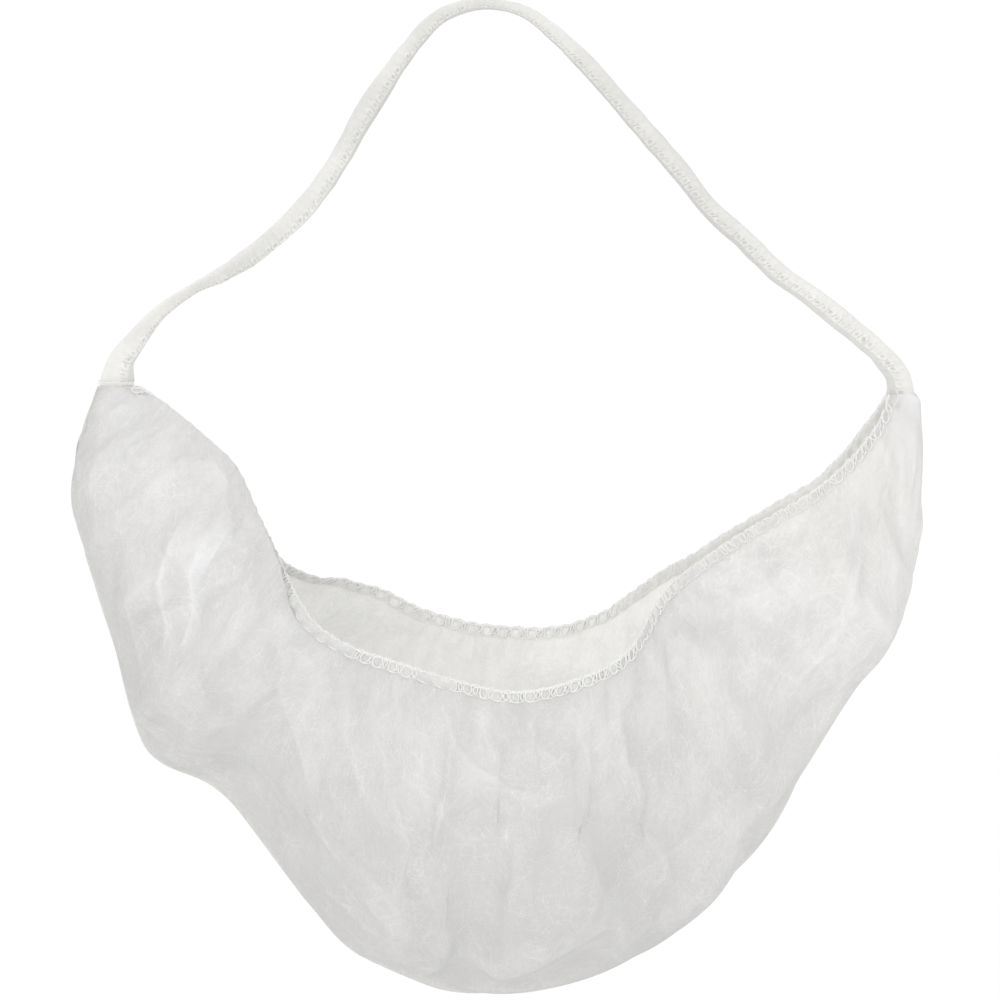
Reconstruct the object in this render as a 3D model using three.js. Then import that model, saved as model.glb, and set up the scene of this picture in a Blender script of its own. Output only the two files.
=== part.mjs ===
// Disposable beard net: a folded nonwoven pouch with two gathered elastic edges and one elastic head loop.
// Millimetres, +Z up, +X to the right of someone facing the front edge, +Y towards the back edge.
// The origin is the hang point: the inner side of the head loop at its highest point.
import * as THREE from "three";

// Overall sizes
const pouchWidth = 265;
const pouchDrop = 194;
const mouthDepth = 74;
const loopRise = 121;

// Cloth
const clothWall = 1;
const gatherDepth = 1.5;
const gatherFade = 0.2;
const gatherCount = 17;
const gatherStray = 0.35;
const gatherStrayRate = 19;
const gatherFreeEnds = 0.08;

// Elastic edges, each a flat overlocked cord along a rim of the cloth
const edgeTall = 3.5;
const edgeThick = 1.7;
const edgeBead = 0.2;

// Head loop, a flat strip
const loopWidth = 7.4;
const loopThick = 1.3;
const loopCutSteps = 4;

// Cross seam at the left corner
const seamTall = 2.4;
const seamThick = 4.6;
const seamProud = 0.3;

// Gap between pieces that touch
const seat = 0.3;

// How finely each form is faceted
const clothSteps = 82;
const wrapSteps = 26;
const loopSteps = 60;
const ovalSides = 6;

// How far apart two points lie when they give a direction, in shares of the form
const clothStep = 0.004;
const rimStep = 0.01;
const rimInset = 0.04;
const loopStep = 0.008;

// Sections of the pouch from the left corner (at 0) to the right corner (at 1).
// The X columns are shares of half the pouch width, the Z columns are shares of the drop below the corners,
// and the Y columns are shares of half the mouth depth.
const sections = [
  { at: 0.0, frontX: -0.84, frontZ: 0.0, frontY: 0.055, backX: -0.84, backZ: 0.0, backY: 0.055 },
  { at: 0.05, frontX: -0.79, frontZ: 0.015, frontY: 0.19, backX: -0.79, backZ: 0.045, backY: 0.19 },
  { at: 0.11, frontX: -0.7, frontZ: 0.045, frontY: 0.38, backX: -0.7, backZ: 0.125, backY: 0.38 },
  { at: 0.18, frontX: -0.605, frontZ: 0.1, frontY: 0.59, backX: -0.6, backZ: 0.225, backY: 0.59 },
  { at: 0.25, frontX: -0.53, frontZ: 0.215, frontY: 0.78, backX: -0.47, backZ: 0.33, backY: 0.81 },
  { at: 0.31, frontX: -0.435, frontZ: 0.35, frontY: 0.92, backX: -0.34, backZ: 0.36, backY: 0.95 },
  { at: 0.36, frontX: -0.34, frontZ: 0.4, frontY: 0.97, backX: -0.24, backZ: 0.38, backY: 1.0 },
  { at: 0.42, frontX: -0.22, frontZ: 0.43, frontY: 1.0, backX: -0.13, backZ: 0.41, backY: 1.0 },
  { at: 0.48, frontX: -0.08, frontZ: 0.46, frontY: 1.0, backX: -0.01, backZ: 0.44, backY: 1.0 },
  { at: 0.55, frontX: 0.07, frontZ: 0.48, frontY: 1.0, backX: 0.13, backZ: 0.45, backY: 1.0 },
  { at: 0.62, frontX: 0.22, frontZ: 0.46, frontY: 0.95, backX: 0.27, backZ: 0.42, backY: 0.92 },
  { at: 0.69, frontX: 0.34, frontZ: 0.42, frontY: 0.81, backX: 0.38, backZ: 0.36, backY: 0.73 },
  { at: 0.76, frontX: 0.44, frontZ: 0.33, frontY: 0.46, backX: 0.51, backZ: 0.29, backY: 0.38 },
  { at: 0.83, frontX: 0.61, frontZ: 0.25, frontY: 0.27, backX: 0.65, backZ: 0.22, backY: 0.24 },
  { at: 0.9, frontX: 0.8, frontZ: 0.17, frontY: 0.19, backX: 0.81, backZ: 0.15, backY: 0.19 },
  { at: 0.96, frontX: 0.92, frontZ: 0.08, frontY: 0.12, backX: 0.91, backZ: 0.07, backY: 0.12 },
  { at: 1.0, frontX: 0.97, frontZ: 0.01, frontY: 0.055, backX: 0.97, backZ: 0.01, backY: 0.055 },
];

// The fold line under the pouch at the same stations. The Full columns are how far the front and back walls
// swell past their rims, as shares of half the mouth depth.
const foldLine = [
  { at: 0.0, x: -0.905, z: 0.0, y: 0.0, frontFull: 0.0, backFull: 0.0 },
  { at: 0.05, x: -0.96, z: 0.09, y: 0.0, frontFull: 0.14, backFull: 0.1 },
  { at: 0.11, x: -0.975, z: 0.18, y: 0.02, frontFull: 0.26, backFull: 0.18 },
  { at: 0.18, x: -0.94, z: 0.28, y: 0.04, frontFull: 0.34, backFull: 0.24 },
  { at: 0.25, x: -0.875, z: 0.42, y: 0.03, frontFull: 0.32, backFull: 0.28 },
  { at: 0.31, x: -0.8, z: 0.58, y: 0.0, frontFull: 0.26, backFull: 0.26 },
  { at: 0.36, x: -0.63, z: 0.66, y: -0.06, frontFull: 0.22, backFull: 0.24 },
  { at: 0.42, x: -0.41, z: 0.85, y: -0.05, frontFull: 0.24, backFull: 0.26 },
  { at: 0.48, x: -0.18, z: 0.975, y: 0.0, frontFull: 0.3, backFull: 0.28 },
  { at: 0.55, x: 0.045, z: 1.0, y: 0.04, frontFull: 0.32, backFull: 0.28 },
  { at: 0.62, x: 0.29, z: 0.96, y: 0.05, frontFull: 0.3, backFull: 0.28 },
  { at: 0.69, x: 0.51, z: 0.85, y: 0.0, frontFull: 0.32, backFull: 0.34 },
  { at: 0.76, x: 0.735, z: 0.635, y: -0.05, frontFull: 0.44, backFull: 0.46 },
  { at: 0.83, x: 0.86, z: 0.5, y: -0.03, frontFull: 0.46, backFull: 0.44 },
  { at: 0.9, x: 0.965, z: 0.4, y: 0.0, frontFull: 0.36, backFull: 0.34 },
  { at: 0.96, x: 1.02, z: 0.22, y: 0.0, frontFull: 0.18, backFull: 0.18 },
  { at: 1.0, x: 1.02, z: 0.01, y: 0.0, frontFull: 0.0, backFull: 0.0 },
];

// Folds and dents. side is -1 on the front wall and 1 on the back wall, at is the station where the fold meets
// the rim, lean is how far it strays by the fold line, from and to are shares of the way from rim to fold line,
// width is in stations and height is a share of half the mouth depth.
const foldLeadIn = 0.1;
const foldRise = 0.15;
const foldFall = 0.25;
const folds = [
  { side: -1, at: 0.13, lean: 0.05, from: 0.1, to: 0.9, width: 0.018, height: 0.08 },
  { side: -1, at: 0.21, lean: 0.02, from: 0.15, to: 0.85, width: 0.02, height: 0.1 },
  { side: -1, at: 0.245, lean: 0.01, from: 0.2, to: 0.8, width: 0.012, height: -0.09 },
  { side: -1, at: 0.275, lean: 0.02, from: 0.1, to: 0.95, width: 0.016, height: 0.09 },
  { side: -1, at: 0.35, lean: 0.02, from: 0.3, to: 1.0, width: 0.02, height: -0.1 },
  { side: -1, at: 0.4, lean: -0.03, from: 0.0, to: 0.7, width: 0.02, height: 0.07 },
  { side: -1, at: 0.49, lean: -0.02, from: 0.0, to: 0.45, width: 0.016, height: 0.11 },
  { side: -1, at: 0.55, lean: -0.05, from: 0.3, to: 1.0, width: 0.022, height: -0.1 },
  { side: -1, at: 0.52, lean: -0.03, from: 0.5, to: 1.0, width: 0.015, height: 0.1 },
  { side: -1, at: 0.61, lean: 0.03, from: 0.1, to: 0.9, width: 0.022, height: 0.08 },
  { side: -1, at: 0.68, lean: 0.03, from: 0.05, to: 0.8, width: 0.018, height: -0.1 },
  { side: -1, at: 0.75, lean: 0.01, from: 0.05, to: 0.9, width: 0.018, height: 0.12 },
  { side: -1, at: 0.815, lean: 0.01, from: 0.1, to: 0.5, width: 0.02, height: -0.14 },
  { side: -1, at: 0.88, lean: 0.02, from: 0.1, to: 0.9, width: 0.018, height: 0.08 },
  { side: -1, at: 0.945, lean: 0.0, from: 0.3, to: 1.0, width: 0.01, height: -0.04 },
  { side: 1, at: 0.16, lean: 0.03, from: 0.1, to: 0.9, width: 0.02, height: 0.09 },
  { side: 1, at: 0.24, lean: 0.03, from: 0.1, to: 0.8, width: 0.018, height: -0.09 },
  { side: 1, at: 0.34, lean: 0.0, from: 0.1, to: 1.0, width: 0.022, height: 0.1 },
  { side: 1, at: 0.45, lean: 0.02, from: 0.15, to: 0.9, width: 0.02, height: -0.09 },
  { side: 1, at: 0.53, lean: -0.02, from: 0.0, to: 0.8, width: 0.02, height: 0.1 },
  { side: 1, at: 0.63, lean: 0.03, from: 0.1, to: 0.9, width: 0.02, height: -0.09 },
  { side: 1, at: 0.72, lean: 0.02, from: 0.0, to: 0.9, width: 0.02, height: 0.1 },
  { side: 1, at: 0.84, lean: 0.02, from: 0.1, to: 0.8, width: 0.018, height: -0.08 },
];

// Round dents and puffs. at is the station, down is the share of the way from rim to fold line, wide is in
// stations, tall is a share of that way, turn leans the oval and height is a share of half the mouth depth.
const dents = [
  { side: -1, at: 0.09, down: 0.5, wide: 0.03, tall: 0.25, turn: 0.3, height: 0.1 },
  { side: -1, at: 0.19, down: 0.75, wide: 0.03, tall: 0.2, turn: -0.5, height: -0.1 },
  { side: -1, at: 0.3, down: 0.45, wide: 0.04, tall: 0.16, turn: 0.6, height: 0.12 },
  { side: -1, at: 0.37, down: 0.7, wide: 0.03, tall: 0.2, turn: 0.4, height: -0.12 },
  { side: -1, at: 0.44, down: 0.5, wide: 0.035, tall: 0.14, turn: -0.7, height: 0.1 },
  { side: -1, at: 0.5, down: 0.8, wide: 0.03, tall: 0.2, turn: 0.3, height: -0.14 },
  { side: -1, at: 0.57, down: 0.62, wide: 0.04, tall: 0.13, turn: 0.8, height: 0.12 },
  { side: -1, at: 0.64, down: 0.35, wide: 0.03, tall: 0.16, turn: -0.4, height: -0.1 },
  { side: -1, at: 0.7, down: 0.7, wide: 0.035, tall: 0.18, turn: 0.5, height: 0.12 },
  { side: -1, at: 0.79, down: 0.65, wide: 0.03, tall: 0.16, turn: -0.6, height: -0.12 },
  { side: -1, at: 0.86, down: 0.4, wide: 0.03, tall: 0.2, turn: 0.2, height: 0.1 },
  { side: 1, at: 0.12, down: 0.55, wide: 0.03, tall: 0.2, turn: -0.4, height: -0.08 },
  { side: 1, at: 0.29, down: 0.6, wide: 0.035, tall: 0.18, turn: 0.5, height: -0.12 },
  { side: 1, at: 0.4, down: 0.4, wide: 0.035, tall: 0.16, turn: -0.5, height: 0.12 },
  { side: 1, at: 0.5, down: 0.65, wide: 0.04, tall: 0.16, turn: 0.6, height: -0.12 },
  { side: 1, at: 0.6, down: 0.45, wide: 0.035, tall: 0.18, turn: 0.2, height: 0.12 },
  { side: 1, at: 0.68, down: 0.7, wide: 0.03, tall: 0.16, turn: -0.5, height: -0.12 },
  { side: 1, at: 0.78, down: 0.5, wide: 0.03, tall: 0.2, turn: 0.4, height: 0.12 },
  { side: 1, at: 0.9, down: 0.6, wide: 0.03, tall: 0.2, turn: 0.0, height: -0.07 },
];

// The left lobe: beside the left corner the front wall rolls up over its rim
const lobeCentre = 0.18;
const lobeWidth = 0.085;
const lobeRoll = 0.19;
const lobeReach = 0.34;

// Route of the head loop from its left end to its right end. x is a share of the way from corner to corner, z is
// a share of the rise from the corners to the top, y is in shares of half the mouth depth, wide is a share of the
// strip width and twist, in degrees, is how far the strip is turned edge-on. The two end rows have no z, because
// they sit on the left seam and on the right corner.
const loopRoute = [
  { x: -0.003, y: 0.0, wide: 1.46, twist: 0 },
  { x: 0.003, z: 0.07, y: 0.0, wide: 1.12, twist: 8 },
  { x: 0.016, z: 0.115, y: 0.02, wide: 1.0, twist: 27 },
  { x: 0.043, z: 0.188, y: 0.05, wide: 1.0, twist: 42 },
  { x: 0.084, z: 0.247, y: 0.09, wide: 1.0, twist: 55 },
  { x: 0.124, z: 0.287, y: 0.12, wide: 1.0, twist: 42 },
  { x: 0.166, z: 0.342, y: 0.14, wide: 1.0, twist: 22 },
  { x: 0.212, z: 0.423, y: 0.15, wide: 1.0, twist: 8 },
  { x: 0.247, z: 0.506, y: 0.15, wide: 1.0, twist: 12 },
  { x: 0.277, z: 0.6, y: 0.14, wide: 1.0, twist: 16 },
  { x: 0.300, z: 0.688, y: 0.12, wide: 1.0, twist: 10 },
  { x: 0.329, z: 0.784, y: 0.09, wide: 1.0, twist: 28 },
  { x: 0.359, z: 0.873, y: 0.06, wide: 1.0, twist: 38 },
  { x: 0.391, z: 0.946, y: 0.03, wide: 1.0, twist: 42 },
  { x: 0.427, z: 0.985, y: 0.01, wide: 1.0, twist: 48 },
  { x: 0.468, z: 1.0, y: 0.0, wide: 1.0, twist: 53 },
  { x: 0.513, z: 0.983, y: -0.02, wide: 0.98, twist: 50 },
  { x: 0.549, z: 0.934, y: -0.05, wide: 0.95, twist: 42 },
  { x: 0.591, z: 0.855, y: -0.09, wide: 0.92, twist: 32 },
  { x: 0.630, z: 0.767, y: -0.12, wide: 0.9, twist: 22 },
  { x: 0.674, z: 0.665, y: -0.14, wide: 0.88, twist: 16 },
  { x: 0.714, z: 0.571, y: -0.15, wide: 0.87, twist: 14 },
  { x: 0.750, z: 0.477, y: -0.15, wide: 0.87, twist: 14 },
  { x: 0.793, z: 0.396, y: -0.14, wide: 0.87, twist: 12 },
  { x: 0.837, z: 0.307, y: -0.12, wide: 0.89, twist: 8 },
  { x: 0.880, z: 0.242, y: -0.09, wide: 0.9, twist: 6 },
  { x: 0.925, z: 0.166, y: -0.06, wide: 0.9, twist: 4 },
  { x: 0.963, z: 0.098, y: -0.03, wide: 0.92, twist: 2 },
  { x: 0.988, z: 0.035, y: 0.0, wide: 1.1, twist: 0 },
  { x: 0.995, y: 0.0, wide: 1.4, twist: 0 },
];

// Half the height of the turned strip at its top, where its inner side is the hang point
const apexTwist = THREE.MathUtils.degToRad(loopRoute.find((row) => row.z === 1).twist);
const apexHalf = (loopWidth * Math.cos(apexTwist) + loopThick * Math.sin(apexTwist)) / 2;
const cornerHeight = apexHalf - loopRise;

// Reads a column of a table at a station, on a smooth curve through its rows.
function read(table, column, at) {
  let row = 0;
  while (row < table.length - 2 && at > table[row + 1].at) row += 1;
  const slope = (index) => {
    const before = table[Math.max(index - 1, 0)];
    const after = table[Math.min(index + 1, table.length - 1)];
    return (after[column] - before[column]) / (after.at - before.at);
  };
  const start = table[row];
  const end = table[row + 1];
  const span = end.at - start.at;
  const t = THREE.MathUtils.clamp((at - start.at) / span, 0, 1);
  const startShare = 2 * t ** 3 - 3 * t ** 2 + 1;
  const endShare = 1 - startShare;
  const startPull = (t ** 3 - 2 * t ** 2 + t) * span * slope(row);
  const endPull = (t ** 3 - t ** 2) * span * slope(row + 1);
  return startShare * start[column] + endShare * end[column] + startPull + endPull;
}

function place(x, z, y) {
  const height = cornerHeight - z * pouchDrop;
  return new THREE.Vector3((x * pouchWidth) / 2, (y * mouthDepth) / 2, height);
}

// A point on the smooth form of the pouch. around is -1 on the front rim, 0 on the fold line, 1 on the back rim.
function pouchForm(at, around) {
  const side = around < 0 ? -1 : 1;
  const wall = side < 0 ? "front" : "back";
  const fromRim = 1 - Math.abs(around);
  const turn = (fromRim * Math.PI) / 2;
  const rimY = side * read(sections, wall + "Y", at);
  const rim = place(read(sections, wall + "X", at), read(sections, wall + "Z", at), rimY);
  const fold = place(read(foldLine, "x", at), read(foldLine, "z", at), read(foldLine, "y", at));
  const point = rim.clone().lerp(fold, Math.sin(turn));
  const swell = (read(foldLine, wall + "Full", at) * mouthDepth) / 2;
  point.y = fold.y + (rim.y - fold.y) * Math.cos(turn) + side * swell * Math.sin(2 * turn);
  if (side < 0) {
    const near = Math.exp(-(((at - lobeCentre) / lobeWidth) ** 2));
    const rise = Math.sin(Math.PI * Math.min(fromRim / lobeReach, 1));
    const roll = (lobeRoll * near * mouthDepth) / 2;
    point.addScaledVector(rim.clone().sub(fold).setY(0).normalize(), roll * rise ** 2);
    point.y -= roll * rise;
  }
  return point;
}

// The direction straight out of the cloth, away from the inside of the pouch
function acrossForm(form, at, around) {
  const ahead = form(Math.min(at + clothStep, 1), around);
  const behind = form(Math.max(at - clothStep, 0), around);
  const inward = form(at, Math.min(around + clothStep, 1));
  const outward = form(at, Math.max(around - clothStep, -1));
  return ahead.sub(behind).cross(inward.sub(outward)).normalize().negate();
}

function foldHeight(at, around) {
  const side = around < 0 ? -1 : 1;
  const fromRim = 1 - Math.abs(around);
  let height = 0;
  for (const fold of folds) {
    if (fold.side !== side) continue;
    const start = THREE.MathUtils.smoothstep(fromRim, fold.from - foldLeadIn, fold.from + foldRise);
    const end = 1 - THREE.MathUtils.smoothstep(fromRim, fold.to - foldFall, fold.to);
    const off = (at - fold.at - fold.lean * fromRim) / fold.width;
    height += fold.height * start * end * Math.exp(-(off ** 2));
  }
  for (const dent of dents) {
    if (dent.side !== side) continue;
    const along = (at - dent.at) / dent.wide;
    const down = (fromRim - dent.down) / dent.tall;
    height += dent.height * Math.exp(-((along + dent.turn * down) ** 2) - down ** 2);
  }
  return (height * mouthDepth) / 2;
}

function gatherHeight(at, around) {
  const fromRim = 1 - Math.abs(around);
  const wave = gatherCount * at + gatherStray * Math.sin(gatherStrayRate * at + Math.sign(around));
  const ends = THREE.MathUtils.smoothstep(Math.min(at, 1 - at), 0, gatherFreeEnds);
  return gatherDepth * ends * Math.exp(-fromRim / gatherFade) * Math.sin(2 * Math.PI * wave);
}

// The middle of the cloth, with its folds and gathers
function cloth(at, around) {
  const out = acrossForm(pouchForm, at, around);
  return pouchForm(at, around).addScaledVector(out, foldHeight(at, around) + gatherHeight(at, around));
}

function solid(points, faces) {
  const geometry = new THREE.BufferGeometry();
  geometry.setAttribute("position", new THREE.Float32BufferAttribute(points.flatMap((p) => p.toArray()), 3));
  geometry.setIndex(faces);
  geometry.computeVertexNormals();
  return geometry;
}

// The cloth as a wall: an outer and an inner grid, joined along both rims and both ends
function pouchGeometry() {
  const columns = clothSteps + 1;
  const rows = wrapSteps + 1;
  const outer = [];
  const inner = [];
  for (let i = 0; i < columns; i += 1) {
    for (let j = 0; j < rows; j += 1) {
      const at = i / clothSteps;
      const around = (2 * j) / wrapSteps - 1;
      const middle = cloth(at, around);
      const out = acrossForm(cloth, at, around);
      if (i === 0 || i === clothSteps) out.setZ(0).normalize();
      outer.push(middle.clone().addScaledVector(out, clothWall / 2));
      inner.push(middle.clone().addScaledVector(out, -clothWall / 2));
    }
  }
  const faces = [];
  const quad = (a, b, c, d) => faces.push(a, c, b, a, d, c);
  const under = columns * rows;
  for (let i = 0; i < clothSteps; i += 1) {
    for (let j = 0; j < wrapSteps; j += 1) {
      const a = i * rows + j;
      const b = a + rows;
      quad(a, b, b + 1, a + 1);
      quad(under + a, under + a + 1, under + b + 1, under + b);
    }
  }
  for (let i = 0; i < clothSteps; i += 1) {
    const front = i * rows;
    const back = front + wrapSteps;
    quad(front, under + front, under + front + rows, front + rows);
    quad(back, back + rows, under + back + rows, under + back);
  }
  for (let j = 0; j < wrapSteps; j += 1) {
    const right = clothSteps * rows + j;
    quad(j, j + 1, under + j + 1, under + j);
    quad(right, under + right, under + right + 1, right + 1);
  }
  return solid([...outer, ...inner], faces);
}

// A solid bar along a run of frames, each with a centre, a tall and a thick direction and two half sizes
function bar(frames, outline) {
  const sides = outline.length;
  const points = [];
  for (const frame of frames) {
    for (const [tall, thick] of outline) {
      const point = frame.centre.clone().addScaledVector(frame.tall, tall * frame.halfTall);
      points.push(point.addScaledVector(frame.thick, thick * frame.halfThick));
    }
  }
  const faces = [];
  for (let i = 0; i < frames.length - 1; i += 1) {
    for (let k = 0; k < sides; k += 1) {
      const a = i * sides + k;
      const b = i * sides + ((k + 1) % sides);
      faces.push(a, b, b + sides, a, b + sides, a + sides);
    }
  }
  const last = (frames.length - 1) * sides;
  for (let k = 1; k < sides - 1; k += 1) {
    faces.push(0, k + 1, k);
    faces.push(last, last + k, last + k + 1);
  }
  return solid(points, faces);
}

// Outlines of a bar in its tall and thick directions, as shares of its half sizes
const roundedStrip = [
  [1, 0.5],
  [0.9, 1],
  [-0.9, 1],
  [-1, 0.5],
  [-1, -0.5],
  [-0.9, -1],
  [0.9, -1],
  [1, -0.5],
];
const oval = Array.from({ length: ovalSides }, (_, k) => {
  const angle = (2 * Math.PI * (k + 0.5)) / ovalSides;
  return [Math.cos(angle), Math.sin(angle)];
});

function edgeElasticGeometry(side) {
  const frames = [];
  for (let i = 0; i <= clothSteps; i += 1) {
    const at = i / clothSteps;
    const rim = cloth(at, side);
    const out = rim.clone().sub(cloth(at, side * (1 - rimInset))).normalize();
    if (i === 0 || i === clothSteps) out.setZ(0).normalize();
    const ahead = cloth(Math.min(at + rimStep, 1), side);
    const behind = cloth(Math.max(at - rimStep, 0), side);
    const thick = ahead.sub(behind).normalize().cross(out).normalize();
    if (i === 0 || i === clothSteps) thick.setZ(0).normalize();
    const bead = 1 + edgeBead * (i % 2 === 0 ? 1 : -1);
    const centre = rim.clone().addScaledVector(out, seat + edgeTall / 2);
    frames.push({ centre, tall: out, thick, halfTall: edgeTall / 2, halfThick: (edgeThick / 2) * bead });
  }
  return bar(frames, oval);
}

// The corners of the pouch, each as wide as the folded cloth and the elastics beside it
function cornerAt(at) {
  const rim = place(read(sections, "frontX", at), read(sections, "frontZ", at), 0);
  const fold = place(read(foldLine, "x", at), read(foldLine, "z", at), 0);
  const inside = rim.x + Math.sign(rim.x - fold.x) * (seat + edgeTall);
  return { middle: (inside + fold.x) / 2, half: Math.abs(inside - fold.x) / 2, height: rim.z };
}

const leftCorner = cornerAt(0);
const rightCorner = cornerAt(1);

// The rows of the loop's route, spaced along its length, with the heights that its two ends sit at
const loopRows = loopRoute.map((row, index) => ({ ...row, at: index / (loopRoute.length - 1) }));
loopRows[0].z = (seamTall + 2 * seat) / loopRise;
loopRows[loopRows.length - 1].z = (rightCorner.height - cornerHeight + seat) / loopRise;

function loopCentre(at) {
  const x = THREE.MathUtils.lerp(leftCorner.middle, rightCorner.middle, read(loopRows, "x", at));
  const y = (read(loopRows, "y", at) * mouthDepth) / 2;
  return new THREE.Vector3(x, y, cornerHeight + read(loopRows, "z", at) * loopRise);
}

// The loop's ends are cut level over their last steps, where the strip is sewn on
function headLoopGeometry() {
  const frames = [];
  for (let i = 0; i <= loopSteps; i += 1) {
    const at = i / loopSteps;
    const ahead = loopCentre(Math.min(at + loopStep, 1)).sub(loopCentre(Math.max(at - loopStep, 0))).normalize();
    const inPlane = new THREE.Vector3(0, 1, 0).cross(ahead).normalize();
    const level = new THREE.Vector3(Math.sign(inPlane.x), 0, 0);
    const cut = THREE.MathUtils.clamp(1 - (Math.min(at, 1 - at) * loopSteps) / loopCutSteps, 0, 1);
    const face = inPlane.lerp(level, cut).normalize();
    const twist = THREE.MathUtils.degToRad(read(loopRows, "twist", at));
    const tall = face.clone().multiplyScalar(Math.cos(twist)).add(new THREE.Vector3(0, Math.sin(twist), 0));
    tall.normalize();
    const thick = ahead.clone().cross(tall).normalize();
    const halfTall = (loopWidth * read(loopRows, "wide", at)) / 2;
    frames.push({ centre: loopCentre(at), tall, thick, halfTall, halfThick: loopThick / 2 });
  }
  return bar(frames, roundedStrip);
}

// Along the seam from end to end, with its size at each place as a share of the full size
const seamProfile = [
  { along: -1, tall: 0.8, thick: 0.7 },
  { along: -0.8, tall: 1, thick: 1 },
  { along: 0.8, tall: 1, thick: 1 },
  { along: 1, tall: 0.8, thick: 0.7 },
];

function leftSeamGeometry() {
  const middle = new THREE.Vector3(leftCorner.middle, 0, leftCorner.height + seat + seamTall / 2);
  const frames = seamProfile.map((row) => ({
    centre: middle.clone().add(new THREE.Vector3(row.along * (leftCorner.half + seamProud), 0, 0)),
    tall: new THREE.Vector3(0, 0, 1),
    thick: new THREE.Vector3(0, -1, 0),
    halfTall: (seamTall / 2) * row.tall,
    halfThick: (seamThick / 2) * row.thick,
  }));
  return bar(frames, roundedStrip);
}

const nonwoven = new THREE.MeshStandardMaterial({ color: 0xe6e7ea, roughness: 0.85, metalness: 0 });
const overlock = new THREE.MeshStandardMaterial({ color: 0xf0f0f1, roughness: 0.8, metalness: 0 });
const elasticStrip = new THREE.MeshStandardMaterial({ color: 0xebebee, roughness: 0.8, metalness: 0 });

function piece(name, geometry, material) {
  const mesh = new THREE.Mesh(geometry, material);
  mesh.name = name;
  return mesh;
}

const beardNet = new THREE.Group();
beardNet.add(piece("net_pouch", pouchGeometry(), nonwoven));
beardNet.add(piece("front_edge_elastic", edgeElasticGeometry(-1), overlock));
beardNet.add(piece("back_edge_elastic", edgeElasticGeometry(1), overlock));
beardNet.add(piece("head_loop", headLoopGeometry(), elasticStrip));
beardNet.add(piece("left_end_seam", leftSeamGeometry(), overlock));

export default beardNet;
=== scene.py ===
"""A disposable beard net: a gathered nonwoven pouch with two elastic rims and one elastic head loop."""
import math

import bpy
import numpy as np
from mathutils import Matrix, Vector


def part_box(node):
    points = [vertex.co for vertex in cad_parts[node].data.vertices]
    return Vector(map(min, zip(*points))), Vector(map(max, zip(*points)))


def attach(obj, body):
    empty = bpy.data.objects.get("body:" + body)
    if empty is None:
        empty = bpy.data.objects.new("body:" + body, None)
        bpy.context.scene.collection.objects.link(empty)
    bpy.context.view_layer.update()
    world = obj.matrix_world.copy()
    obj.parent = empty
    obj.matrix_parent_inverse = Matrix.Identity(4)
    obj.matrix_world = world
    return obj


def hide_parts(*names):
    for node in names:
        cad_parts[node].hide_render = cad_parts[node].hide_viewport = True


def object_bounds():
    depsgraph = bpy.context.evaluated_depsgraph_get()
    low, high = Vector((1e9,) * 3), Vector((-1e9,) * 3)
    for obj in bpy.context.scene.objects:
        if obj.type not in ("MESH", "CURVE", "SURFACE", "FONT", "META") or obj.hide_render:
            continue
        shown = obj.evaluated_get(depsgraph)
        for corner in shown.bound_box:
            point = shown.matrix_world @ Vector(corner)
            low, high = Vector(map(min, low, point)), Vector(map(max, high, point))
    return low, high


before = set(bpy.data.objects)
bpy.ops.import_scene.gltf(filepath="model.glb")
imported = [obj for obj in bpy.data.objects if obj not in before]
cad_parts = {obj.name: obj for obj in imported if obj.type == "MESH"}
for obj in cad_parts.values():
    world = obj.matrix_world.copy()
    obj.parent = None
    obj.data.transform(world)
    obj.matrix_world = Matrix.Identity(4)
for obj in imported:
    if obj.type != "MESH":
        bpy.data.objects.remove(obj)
cad_low, cad_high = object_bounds()


# The pouch. It is one cut of white spunbond nonwoven, folded along the bottom and drawn in along its two
# rims, so it hangs open at the top. The cloth is thin enough for light to come through, and it keeps its
# pack creases.

corner_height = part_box("net_pouch")[1][2]
half_width = 0.265 / 2
pouch_drop = 0.194
half_depth = 0.074 / 2
gather_bundles = 26

# How far the gathers, the crumples and the lie of the cloth move it off its plain form, in metres
wide_gather = 0.0009
fine_gather = 0.0002
pulled_up = 0.0066
pulled_forwards = 0.004
most_crumple = 0.0015
rim_off_line = {-1: 0.0012, 1: -0.0024}
tucked_in = 0.006
drawn_in_wall = 0.0019
doubled_wall = 0.0006

# The photograph's view: metres in a pixel, the pixel of the frame's origin, and the way down that it looks
photo_pixel = 0.00031
photo_x = 486
photo_y = 15.5
view_pitch = math.radians(13)

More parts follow.
